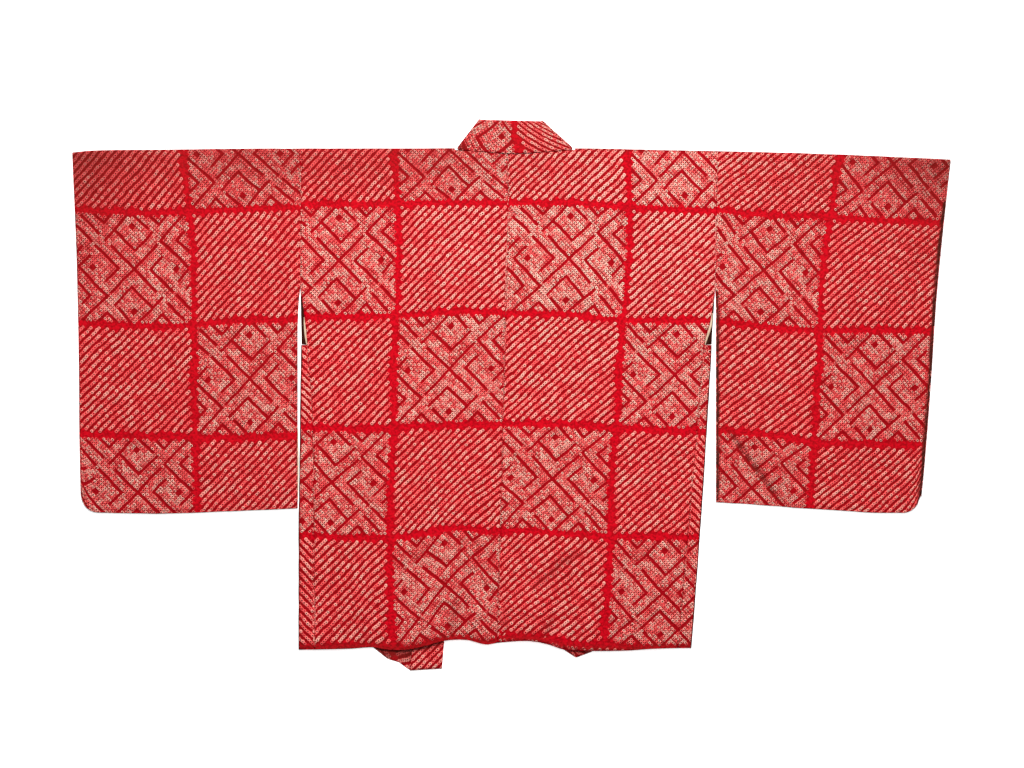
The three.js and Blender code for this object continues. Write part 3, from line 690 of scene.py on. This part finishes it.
def rows_between(curves, marks):
    """Heights across a panel, from the steps marked at its edges and plain bands."""
    marks = np.array(marks, float)

    def row(x, v):
        heights = [one(x) for one in curves]
        y = np.zeros(np.broadcast(x, v).shape)
        for low in range(len(marks) - 1):
            share = (v - marks[low]) / (marks[low + 1] - marks[low])
            inside = (share >= 0) & (share <= 1) if low == 0 else (share > 0) & (share <= 1)
            y = np.where(inside, between(heights[low], heights[low + 1], share), y)
        from_ends = np.minimum(v - marks[0], marks[-1] - v)
        return y + ease(from_ends / ROW_EASE) * sway(x, v * 2.0, ROW_SWAY)
    return row


INSIDE_Y, INSIDE_REACH = 112, 45  # the inside of the front is in shade where the underarm is open
HEM_SHADE, HEM_SHADE_REACH = 0.75, 26  # what lies under the back's hem is in shade this far below it
NECK_CORNER_X = {"left": -81.4, "right": 91.4}  # where the shoulder fold meets the collar's seam
FIRST_GUESS = 60.0  # outwards from there, for the passes to start with
BODY_STEPS = 64  # from the plain band to past either edge
HIDDEN_COLUMNS, CENTRE_COLUMNS = 25, 9  # from the outer edge to the collar's seam, and on to the centre
HIDDEN_ROWS, FRONT_ROWS = 70, 60
UNDERARM_ROWS = {"left": (0.3919, 0.3933), "right": (0.3892, 0.3906)}  # just above the gusset's top
HEM_ROWS = np.linspace(0.975, 0.999, 7)
TURNS = np.linspace(0, math.pi, 7)[1:-1][:, None]  # round a folded edge
ROLL_SHADE = ease((TURNS - 0.3) / 1.2)  # the cloth darkens as it rolls under


def fold_over(cloth, x, y, reach, direction, u, v):
    """Points round a folded edge, from the upper wall to the lower one."""
    upper = upper_height(x, y)
    radius = (upper - LOWER) / 2 + reach
    return cloth.add(x, y + direction * radius * np.sin(TURNS), (upper + LOWER) / 2 + radius * np.cos(TURNS),
                     u, v - direction * TURNS, ROLL_SHADE)


def body_panel(side):
    """One body panel, as a closed thin shell."""
    cloth = Cloth()
    outward, turned = OUTWARD[side], side == "left"
    shoulder, neck, hem = curve(SHOULDER), curve(NECKLINE), curve(BACK_HEM)
    band, last_band = curve(BODY_BAND[side]), curve(HEM_BAND[side])
    seam, corner_x = collar_seam[side], NECK_CORNER_X[side]

    def outer(y):
        return back_side(side, y)

    def top(x):
        return np.where((x - corner_x) * outward < 0, neck(x), shoulder(x) - FOLD_INSET)

    marks = [BODY_TOP_STEP, *range(BLOCK, LAST_BAND + 1, BLOCK), LAST_BAND + HEM_STEPS]
    row = rows_between([top, *[curve(rows) for rows in BODY_BANDS], last_band, hem], marks)
    u = np.arange(-BODY_STEPS, BODY_STEPS + 1)
    v = np.arange(BODY_TOP_STEP, LAST_BAND + HEM_STEPS + 1)
    face = lay_face(cloth, side, u, v, band, row, outer, centre_back, last_band=last_band)
    positions = np.concatenate(cloth.points) / MM

    # The hidden side: under the back, round the fold and over the front.
    across = np.linspace(0, 1, HIDDEN_COLUMNS)[None, :]
    past = np.linspace(0, 1, CENTRE_COLUMNS + 1)[1:][None, :]
    down = np.linspace(0, 1, HIDDEN_ROWS)[:, None]
    x = np.full((HIDDEN_ROWS, HIDDEN_COLUMNS + CENTRE_COLUMNS), corner_x + outward * FIRST_GUESS)
    for _ in range(PASSES):
        y = between(top(x), hem(x), down)
        y_outer, y_past = y[:, :HIDDEN_COLUMNS], y[:, HIDDEN_COLUMNS:]
        x = np.concatenate([between(outer(y_outer), seam(y_outer), across),
                            between(seam(y_past), centre_back(y_past), past)], 1)
    steps_u = (x - band(y)) / STEP
    lift = np.zeros(x.shape)
    lift[-1] = lift[:, 0] = lift[:, -1] = EDGE_DROP
    under_back = cloth.add(x, y, upper_height(x, y) - CLOTH / 2 + lift, steps_u,
                           between(BODY_TOP_STEP, LAST_BAND, down))
    cloth.panel(under_back, up=not turned)

    front_hem = line(FRONT_HEM[side])
    down = np.concatenate([np.linspace(0, 1, FRONT_ROWS), UNDERARM_ROWS[side], HEM_ROWS])
    down = np.sort(down)[:, None]
    front_x = np.full((down.size, HIDDEN_COLUMNS), corner_x + outward * FIRST_GUESS)
    for _ in range(PASSES):
        front_y = between(shoulder(front_x) - FOLD_INSET, front_hem(front_x), down)
        front_x = between(front_side(side, front_y), seam(front_y), across)
    front_u = (front_x - band(front_y)) / STEP
    front_v = between(BODY_TOP_STEP, FRONT_LAST_STEP, down)
    edge = np.zeros(front_x.shape)
    edge[-1] = edge[:, 0] = edge[:, -1] = EDGE_DROP / 2
    inside = near(abs(front_y - INSIDE_Y), INSIDE_REACH)
    under_hem = HEM_SHADE * ease(1 - (hem(front_x) - front_y) / HEM_SHADE_REACH)
    front_inner = cloth.add(front_x, front_y, LOWER + CLOTH / 2 - edge, front_u, front_v,
                            np.maximum(inside, under_hem))
    front_outer = cloth.add(front_x, front_y, LOWER - CLOTH / 2 + edge, front_u, front_v)

    # The fold at the shoulder: an inner arc and an outer one, from the back round to the front.
    top_x, top_y, top_u = [value[0, :HIDDEN_COLUMNS] for value in (x, y, steps_u)]
    arcs = [fold_over(cloth, top_x, top_y, reach, 1, top_u, BODY_TOP_STEP)
            for reach in (-CLOTH / 2, CLOTH / 2)]
    inner = np.concatenate([under_back[:1, :HIDDEN_COLUMNS], arcs[0], front_inner])
    cloth.panel(inner, up=turned)
    shell = np.concatenate([arcs[1], front_outer])
    cloth.panel(shell, up=not turned)

    # The outer face's top edge meets the fold, and its other edges meet the hidden side.
    face_top = face[0]
    corner = int(np.argmin(abs(positions[face_top][:, 0] - corner_x)))
    cloth.join(face_top[:corner + 1], shell[0], turned)
    cloth.join(face_top[corner:], under_back[0, HIDDEN_COLUMNS - 1:], turned)
    cloth.join(face[:, -1], under_back[:, -1], turned)
    cloth.join(face[-1][::-1], under_back[-1][::-1], turned)
    cloth.join(face[::-1, 0], under_back[::-1, 0], turned)
    cloth.join([face[0, 0], *shell[:, 0]], inner[:, 0], turned)
    cloth.join(shell[-1], inner[-1], turned)
    cloth.join([*shell[::-1, -1], face_top[corner]], inner[::-1, -1], turned)
    return cloth


for side in ("left", "right"):
    panel = body_panel(side).finish(f"body_{side}_cloth", SHIBORI)
    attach(panel, "root")
    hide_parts(f"body_{side}")

# ---- Sleeves ----
# Each is one length of the cloth folded at the top and hemmed below, sewn to the body at the armhole.
# Its outer edge is open at the wrist and sewn shut below it, round to a curved lower corner.

WRIST_Y = 120
CORNER_RADIUS = 24
CORNER_LINES = (0, 0.08, 0.2, 0.35, 0.55, 0.8)  # shares of the round corner where the hidden side has lines
SLEEVE_WIDTH, SLEEVE_MIDDLE = 310, 450.0
SLEEVE_REACH = 66  # steps from its plain band to past either edge
SLEEVE_ROWS = 56  # down the hidden side
CLOSING_ROWS, CLOSING_INSET = 60, 0.9  # down the closed outer edge, and how far inside it its seam lies
CLOSING_FOOT_Y = -150.0  # near where that seam meets the hem
CLOSING_LEVELS = (LOWER + 0.3, UPPER - 0.2)
SLEEVE_CUFF = {
    "left": [(350, -633), (208, -627), (60, -623.6), (-72, -622.4), (-171, -620)],
    "right": [(340, 633), (274, 625.6), (144, 612.7), (14, 604), (-94, 595.6), (-171, 588)],
}
SLEEVE_OPENING = {
    "left": [(154, -304.4), (136, -306.6), (98, -308.2), (-165, -308.2)],
    "right": [(154, 293.8), (120, 294.6), (-156, 294.6)],
}
SLEEVE_TOP = {
    "left": [(-633, 350), (-600, 352.8), (-500, 354), (-360, 355.6), (-303, 355.7)],
    "right": [(296, 351.8), (378, 350), (508, 345.6), (633, 339.6)],
}
SLEEVE_HEM = {
    "left": [(-622, -169.6), (-503, -171.4), (-416, -168.5), (-308, -163.8)],
    "right": [(294, -155), (369, -160), (473, -167), (520, -170), (588, -170.4)],
}
SLEEVE_BAND = {
    "left": [(331, -471.6), (268, -464.4), (204, -458.6), (78, -457.2), (-49, -455.8), (-144, -452.9)],
    "right": [(331, 470.2), (300, 465.8), (268, 461.5), (204, 451.4), (141, 445.7), (78, 444.2),
              (14, 441.4), (-49, 437), (-144, 431.3)],
}
SLEEVE_BANDS = {
    "left": (
        [(-615.6, 266.4), (-552.2, 263.5), (-483.1, 263.5), (-405.4, 266.4), (-327.6, 269.3)],
        [(-615.6, 102.2), (-552.2, 99.4), (-483.1, 99.4), (-405.4, 106.6), (-327.6, 108)],
        [(-615.6, -57.6), (-552.2, -59), (-483.1, -60.5), (-405.4, -61.9), (-327.6, -59)],
    ),
    "right": (
        [(311.8, 265), (380.9, 259.2), (438.5, 257.8), (516.2, 252), (596.9, 249.1)],
        [(311.8, 103.7), (380.9, 96.5), (438.5, 93.6), (516.2, 93.6), (596.9, 92.2)],
        [(311.8, -51.8), (380.9, -59), (438.5, -69.1), (516.2, -70.6), (596.9, -72)],
    ),
}
SLEEVE_STEPS = {"left": (26, 206), "right": (25, 204)}  # at the top fold and at the hem fold
SLEEVE_DARK = {
    "left": ((0.6, 280), (0.9, 150)), "right": ((4.6, 150), (5.2, 280)),
}  # shaded strips along the left and right edges: how wide, and from what height down


def grid_wall(cloth, points, u, v, thickness, inner_u=None, shade=0.0):
    """A closed wall round a grid of points, which are the middle of the cloth."""
    normal = np.cross(np.gradient(points, axis=0), np.gradient(points, axis=1))
    normal /= np.linalg.norm(normal, axis=2, keepdims=True)
    taper = np.full(points.shape[:2], thickness / 2)
    taper[0] = taper[-1] = taper[:, 0] = taper[:, -1] = thickness / 4
    sides = []
    for sign, across in ((1, u), (-1, u if inner_u is None else inner_u)):
        x, y, z = np.moveaxis(points + sign * taper[..., None] * normal, 2, 0)
        sides.append(cloth.add(x, y, z, across, v, shade))
        cloth.panel(sides[-1], up=sign > 0)
    outer, inner = sides
    cloth.join(outer[0], inner[0], True)
    cloth.join(outer[-1], inner[-1])
    cloth.join(outer[:, 0], inner[:, 0])
    cloth.join(outer[:, -1], inner[:, -1], True)


def sleeve_side(side, y):
    """The sleeve's inner edge: the armhole seam, and below it the open edge."""
    return np.where(y > UNDERARM_Y, armhole[side](y), line(SLEEVE_OPENING[side])(y))


def sleeve(side):
    """A sleeve: a thin shell pressed flat, open at the wrist and along its inner edge."""
    cloth = Cloth()
    outward, turned = OUTWARD[side], side == "left"
    cuff, band = curve(SLEEVE_CUFF[side]), curve(SLEEVE_BAND[side])
    top_edge, hem_edge = curve(SLEEVE_TOP[side]), curve(SLEEVE_HEM[side])

    def inner_edge(y):
        return sleeve_side(side, y)

    def top(x):
        return top_edge(x) - FOLD_INSET

    def bottom(x):
        distance = np.clip(outward * (cuff(hem_edge(x)) - x), 0, CORNER_RADIUS)
        rise = CORNER_RADIUS - np.sqrt(CORNER_RADIUS ** 2 - (CORNER_RADIUS - distance) ** 2)
        return hem_edge(x) + rise + FOLD_INSET

    first_step, last_step = SLEEVE_STEPS[side]
    marks = [first_step, BLOCK, BLOCK * 2, BLOCK * 3, last_step]
    row = rows_between([top, *[curve(rows) for rows in SLEEVE_BANDS[side]], bottom], marks)
    u = np.arange(-SLEEVE_REACH, SLEEVE_REACH + 1)
    v = np.arange(first_step, last_step + 1)
    face = lay_face(cloth, side, u, v, band, row, cuff, inner_edge, SLEEVE_DARK[side])

    # The hidden side, from the cuff to the inner edge, with more lines in the round corner.
    corner = CORNER_RADIUS / SLEEVE_WIDTH
    share = np.concatenate([corner * np.array(CORNER_LINES), np.linspace(corner, 1, HIDDEN_COLUMNS)])[None, :]
    down = np.linspace(0, 1, SLEEVE_ROWS)[:, None]
    x = np.full((SLEEVE_ROWS, share.size), outward * SLEEVE_MIDDLE)
    for _ in range(PASSES):
        y = between(top(x), bottom(x), down)
        x = between(cuff(y), inner_edge(y), share)
    across = (x - band(y)) / STEP
    along = between(first_step, last_step, down)
    edge = np.zeros(x.shape)
    edge[:, 0] = edge[:, -1] = EDGE_DROP
    under_face = cloth.add(x, y, upper_height(x, y) - CLOTH / 2 + edge, across, along)
    lower_inner = cloth.add(x, y, LOWER + CLOTH / 2 - edge, across, along)
    lower_outer = cloth.add(x, y, LOWER - CLOTH / 2 + edge, across, along)
    arcs = {}
    for name, end, direction in (("top", 0, 1), ("hem", -1, -1)):
        for layer, reach in (("inner", -CLOTH / 2), ("outer", CLOTH / 2)):
            arcs[name, layer] = fold_over(cloth, x[end], y[end], reach, direction, across[end], along[end])
    ring = np.concatenate([under_face, arcs["hem", "inner"], lower_inner[::-1],
                           arcs["top", "inner"][::-1], under_face[:1]])
    cloth.panel(ring, up=not turned)
    shell = np.concatenate([arcs["hem", "outer"], lower_outer[::-1], arcs["top", "outer"][::-1]])
    cloth.panel(shell, up=turned)
    cloth.join(face[-1], shell[0], not turned)
    cloth.join(face[0], shell[-1], turned)
    for column, flip in ((0, not turned), (-1, turned)):
        rows_face = len(under_face)
        cloth.join(face[:, column], ring[:rows_face, column], flip)
        cloth.join([face[-1, column], *shell[:, column], face[0, column]],
                   ring[rows_face - 1:, column], flip)

    # The seam that closes the outer edge below the wrist.
    seam_y = np.linspace(WRIST_Y, bottom(cuff(CLOSING_FOOT_Y)) + 1, CLOSING_ROWS)[:, None]
    seam_x = cuff(seam_y) - outward * CLOSING_INSET
    levels = np.array(CLOSING_LEVELS[::-1] if turned else CLOSING_LEVELS)[None, :]
    points = np.stack(np.broadcast_arrays(seam_x, seam_y, levels), -1)
    grid_wall(cloth, points, across[0, 0] + levels, seam_y / STEP, CLOTH)
    return cloth


for side in ("left", "right"):
    piece = sleeve(side).finish(f"sleeve_{side}_cloth", SHIBORI)
    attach(piece, "root")
    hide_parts(f"sleeve_{side}")

# ---- Side gussets ----
# A narrow wedge of the same cloth between each front and back, folded down its middle.

GUSSET_FOLD = {
    "left": [(72, -303.2), (0, -304.6), (-115, -306), (-180, -307.2), (-367, -307.4)],
    "right": [(72, 288.9), (0, 285), (-147, 275.8), (-266, 267.2), (-365, 259.6)],
}
GUSSET_TOP_STEP = BLOCK * 2 + 14
GUSSET_REACH, GUSSET_ROWS = 12, 48  # steps from its seam to past its fold, and rows down its hidden side
GUSSET_FOOT_Y = -360.0  # near where its seam meets the hem
GUSSET_CUT = 36  # steps on the bolt from the plain band to its seam


def gusset(side):
    """A gusset: its back half on top, its fold at the outer edge and its front half underneath."""
    cloth = Cloth()
    outward, turned = OUTWARD[side], side == "left"
    fold, seam, hem = curve(GUSSET_FOLD[side]), flank[side], curve(BACK_HEM)

    def flat(y):
        return fold(y) - outward * FOLD_INSET

    def mirror(step):
        return outward * GUSSET_CUT - step

    marks = [GUSSET_TOP_STEP, BLOCK * 3, BLOCK * 4, LAST_BAND]
    bands = [curve(rows) for rows in BODY_BANDS[2:]]
    row = rows_between([lambda x: GUSSET_TOP_Y + 0 * x, *bands, hem], marks)
    u, v = np.arange(-GUSSET_REACH, GUSSET_REACH + 1), np.arange(GUSSET_TOP_STEP, LAST_BAND + 1)
    face = lay_face(cloth, side, u, v, seam, row, flat, seam, mark=mirror)

    # The hidden side: an inner layer and an outer one, from the fold to the seam underneath.
    y = between(GUSSET_TOP_Y, hem(seam(GUSSET_FOOT_Y)), np.linspace(0, 1, GUSSET_ROWS)[:, None])
    v = GUSSET_TOP_STEP + (GUSSET_TOP_Y - y) / STEP
    x_flat, x_seam = flat(y), seam(y)
    upper_flat, upper_seam = upper_height(x_flat, y), upper_height(x_seam, y)
    u = mirror((x_flat - x_seam) / STEP)
    layers = []
    for reach, drop in ((-CLOTH / 2, EDGE_DROP), (CLOTH / 2, -EDGE_DROP)):
        radius = (upper_flat - LOWER) / 2 + reach
        arc_x = x_flat + outward * radius * np.sin(TURNS.T)
        arc_z = (upper_flat + LOWER) / 2 + radius * np.cos(TURNS.T)
        level = LOWER - reach + 0 * y
        columns_x = [arc_x, x_flat, (x_flat + x_seam) / 2, x_seam]
        columns_z = [arc_z, level, level, level - drop]
        if reach < 0:
            columns_x = [x_seam, x_flat, *columns_x]
            columns_z = [upper_seam + reach + drop, upper_flat + reach, *columns_z]
        grid_x, grid_z = np.concatenate(columns_x, 1), np.concatenate(columns_z, 1)
        roll = EDGE_SHADE * (outward * (grid_x - x_flat) > 0)
        layers.append(cloth.add(grid_x, y, grid_z, u + np.arange(grid_x.shape[1]) / 3, v, roll))
    inner, outer = layers
    cloth.panel(inner, up=turned)
    cloth.panel(outer, up=not turned)
    cloth.join(face[:, 0], outer[:, 0], not turned)
    cloth.join(face[:, -1], inner[:, 0], turned)
    cloth.join(outer[:, -1], inner[:, -1], not turned)
    cloth.join([*face[0, ::-1], *outer[0]], inner[0], not turned)
    cloth.join([*face[-1, ::-1], *outer[-1]], inner[-1], turned)
    return cloth


for side in ("left", "right"):
    piece = gusset(side).finish(f"gusset_{side}_cloth", SHIBORI)
    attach(piece, "root")
    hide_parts(f"gusset_{side}")

# ---- Collar ----
# One long band of the cloth, folded double. It runs up the left front, folds over at the neck, passes
# behind it and runs down the right front, under the back.

COLLAR_CLOTH = 2.0
COLLAR_LOWER = 1.15
COLLAR_UPPER = 4.1
COLLAR_END = {
    "left": [(-146.2, -397.4), (-100.2, -394.6)],
    "right": [(73, -365.8), (93, -378.8), (115.8, -370.2)],
}
NECK_SEAM = {"left": (-77, 354.4), "right": (87, 354.4)}
NECK_EDGE = {"left": (-44.4, 396.6), "right": (42.6, 394.4)}
COLLAR_BAND_X = 6.5  # the plain band behind the neck
COLLAR_ACROSS, COLLAR_ROWS, NECK_ROWS = 17, 190, 50  # across the band, along each front, at the neck
COLLAR_FOOT_Y = -380.0  # near its ends
CORNER_FROM = 0.94  # the share of a front's length from where it slants towards the neck
COLLAR_TURNS = np.linspace(0, math.pi, 9)[1:-1][:, None]  # round the fold at the neck
COLLAR_CUT = (36, 20)  # steps on the bolt from the plain band to its seam and to its edge
COLLAR_SHADE = 0.16  # over the whole collar
COLLAR_HEM_SHADE, COLLAR_HEM_REACH = 0.55, 11  # where it comes out under the hem
COLLAR_FOOT_SHADE, COLLAR_FOOT_REACH = 0.6, 26  # round its left foot at the neck


def collar():
    """The whole collar, as a closed wall whose rows run along the band."""
    share = np.linspace(0, 1, COLLAR_ACROSS)[None, :]
    radius = (COLLAR_UPPER - COLLAR_LOWER) / 2
    lengths, corners = {}, {}
    for side, outward in OUTWARD.items():
        end = line(COLLAR_END[side])
        (seam_x, seam_y), (edge_x, edge_y) = NECK_SEAM[side], NECK_EDGE[side]
        corner_x, corner_y = between(seam_x, edge_x, share), between(seam_y, edge_y, share)
        corners[side] = corner_x

        def down(y):
            return between(collar_seam[side](y), collar_edge[side](y), share)
        low_y = np.full(share.shape, COLLAR_FOOT_Y)
        for _ in range(PASSES):
            low_y = end(down(low_y))
        up = np.linspace(0, 1, COLLAR_ROWS)[:, None]
        y = between(low_y, corner_y, up)
        x = between(down(y), corner_x, np.clip((up - CORNER_FROM) / (1 - CORNER_FROM), 0, 1))
        front = np.stack([x, y, np.full(x.shape, COLLAR_LOWER)], -1)
        out = np.array([seam_y - edge_y, edge_x - seam_x]) * -outward
        out = out / np.linalg.norm(out)
        bulge = radius * np.sin(COLLAR_TURNS)
        fold = np.stack([corner_x + out[0] * bulge, corner_y + out[1] * bulge,
                         COLLAR_LOWER + radius - radius * np.cos(COLLAR_TURNS) + 0 * corner_x], -1)
        lengths[side] = np.concatenate([front, fold])

    along = np.linspace(0, 1, NECK_ROWS)[:, None]
    x = between(corners["left"], corners["right"], along)
    seam_y = curve(NECKLINE)(between(NECK_SEAM["left"][0], NECK_SEAM["right"][0], along))
    edge_y = between(NECK_EDGE["left"][1], NECK_EDGE["right"][1], along)
    back = np.stack([x, between(seam_y, edge_y, share), np.full(x.shape, COLLAR_UPPER)], -1)
    points = np.concatenate([lengths["left"], back, lengths["right"][::-1]])

    # The pattern's steps run on along the band from its plain band behind the neck.
    middle = COLLAR_ACROSS // 2
    length = np.cumsum(np.linalg.norm(np.diff(points[:, middle], axis=0), axis=1))
    length = np.concatenate([[0], length])
    band_row = len(lengths["left"]) + int(np.argmin(abs(back[:, middle, 0] - COLLAR_BAND_X)))
    v = (BLOCK * 2 - (length - length[band_row]) / STEP)[:, None]
    v[len(points) - len(lengths["right"]):] += BLOCK
    u = between(*COLLAR_CUT, share)
    inner_u = np.where(np.arange(len(points))[:, None] < band_row, between(*COLLAR_CUT[::-1], share), u)
    below_hem = curve(BACK_HEM)(points[..., 0]) - points[..., 1]
    shade = COLLAR_HEM_SHADE * ease(1 - below_hem / COLLAR_HEM_REACH) * (points[..., 1] < 0)
    foot_x, foot_y = NECK_SEAM["left"]
    to_foot = np.hypot(points[..., 0] - foot_x, points[..., 1] - foot_y)
    at_neck = np.maximum(COLLAR_SHADE, COLLAR_FOOT_SHADE * ease(1 - to_foot / COLLAR_FOOT_REACH))
    shade = np.where(points[..., 1] > 0, at_neck, shade)
    cloth = Cloth()
    grid_wall(cloth, points, u, v, COLLAR_CLOTH, inner_u, shade)
    return cloth


piece = collar().finish("collar_cloth", SHIBORI)
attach(piece, "root")
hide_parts("collar_left", "collar_back", "collar_right")

# ---- Lining ----
# Cream silk that shows as a thin sliver at each underarm and at the left sleeve's inner edge.

LINING_THICK, LINING_HEIGHT = 0.7, 2.4
LINING_TUCK = 10  # how far it reaches in under the cloth
LINING_WAVE, LINING_WAVE_REACH = 0.15, 6
SLIVER_ENDS = 0.12  # how far into its swell each sliver starts, and stops before the end
SLIVER_ROWS, SLIVER_ACROSS = 40, 6
CREAM_DARK, CREAM_PALE = (0.56, 0.38, 0.25), (0.78, 0.60, 0.42)

# Name, side, the way it shows, lowest and highest y, and how far it shows.
SLIVERS = (
    ("lining_underarm_left", "left", -1, 70, 112, 3.0),
    ("lining_underarm_right", "right", 1, 70, 118, 3.6),
    ("lining_sleeve_left", "left", 1, -152, -48, 1.6),
)


def lining_material():
    """Plain cream silk with a fine weave."""
    material, tree, shader = new_material("cream_lining_silk", {"Roughness": 0.45, "Sheen Weight": 0.2})
    place = Value(tree.nodes.new("ShaderNodeTexCoord").outputs["Object"])
    feed(blend(noise(place, 60), CREAM_DARK, CREAM_PALE), shader.inputs["Base Color"])
    relief(noise(place, 1800, 3), shader, depth=0.0002)
    return material


LINING = lining_material()
for name, side, outward, bottom, top, out in SLIVERS:
    share = np.linspace(0, 1, SLIVER_ROWS)[:, None]
    y = between(top, bottom, share)
    edge = sleeve_side(side, y) if name == "lining_sleeve_left" else back_side(side, y)
    shown = out * np.sin(math.pi * (SLIVER_ENDS + (1 - 2 * SLIVER_ENDS) * share))
    reach = between(shown, -LINING_TUCK, np.linspace(0, 1, SLIVER_ACROSS)[None, :])
    z = LINING_HEIGHT + LINING_WAVE * np.sin(y / LINING_WAVE_REACH) + 0 * reach
    points = np.stack(np.broadcast_arrays(edge + outward * reach, y, z), -1)
    if outward > 0:
        points = points[:, ::-1]
    cloth = Cloth()
    grid_wall(cloth, points, reach / STEP, y / STEP, LINING_THICK)
    piece = cloth.finish(f"{name}_cloth", LINING)
    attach(piece, "root")
    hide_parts(name)

# ---- Floor, lights and camera ----
# A plain pale floor, soft studio light from above and a camera straight over the cloth.

bpy.ops.mesh.primitive_plane_add(size=12, location=(0, 0, 0))
floor = bpy.context.object
floor.name = "floor"
pale, _, _ = new_material("pale_floor", {
    "Base Color": (0.93, 0.93, 0.93, 1), "Roughness": 0.8,
    "Emission Color": (1, 1, 1, 1), "Emission Strength": 0.6,
})
floor.data.materials.append(pale)


def area_light(name, place, size, power, target):
    """A soft square light that faces a point."""
    data = bpy.data.lights.new(name, "AREA")
    data.size = size
    data.energy = power
    lamp = bpy.data.objects.new(name, data)
    lamp.location = place
    aim = lamp.location.copy()
    aim.xyz = [a - b for a, b in zip(place, target)]
    lamp.rotation_euler = aim.to_track_quat("Z", "Y").to_euler()
    bpy.context.collection.objects.link(lamp)


area_light("window_light", (-0.1, 2.1, 2.4), 0.8, 145, target=(0.05, 0.1, 0))
area_light("overhead_light", (0.1, 0.05, 1.3), 0.7, 7, target=(0.1, 0.05, 0))
world = bpy.data.worlds.new("studio")
world.use_nodes = True
world.node_tree.nodes["Background"].inputs["Color"].default_value = (1, 1, 1, 1)
world.node_tree.nodes["Background"].inputs["Strength"].default_value = 0.14
bpy.context.scene.world = world
bpy.context.scene.view_settings.view_transform = "Standard"

CAMERA_HEIGHT = 3.487
camera_data = bpy.data.cameras.new("overhead_camera")
camera_data.lens = 85
camera = bpy.data.objects.new("overhead_camera", camera_data)
camera.location = (0.0007, 0.0158, CAMERA_HEIGHT)
bpy.context.collection.objects.link(camera)
bpy.context.scene.camera = camera
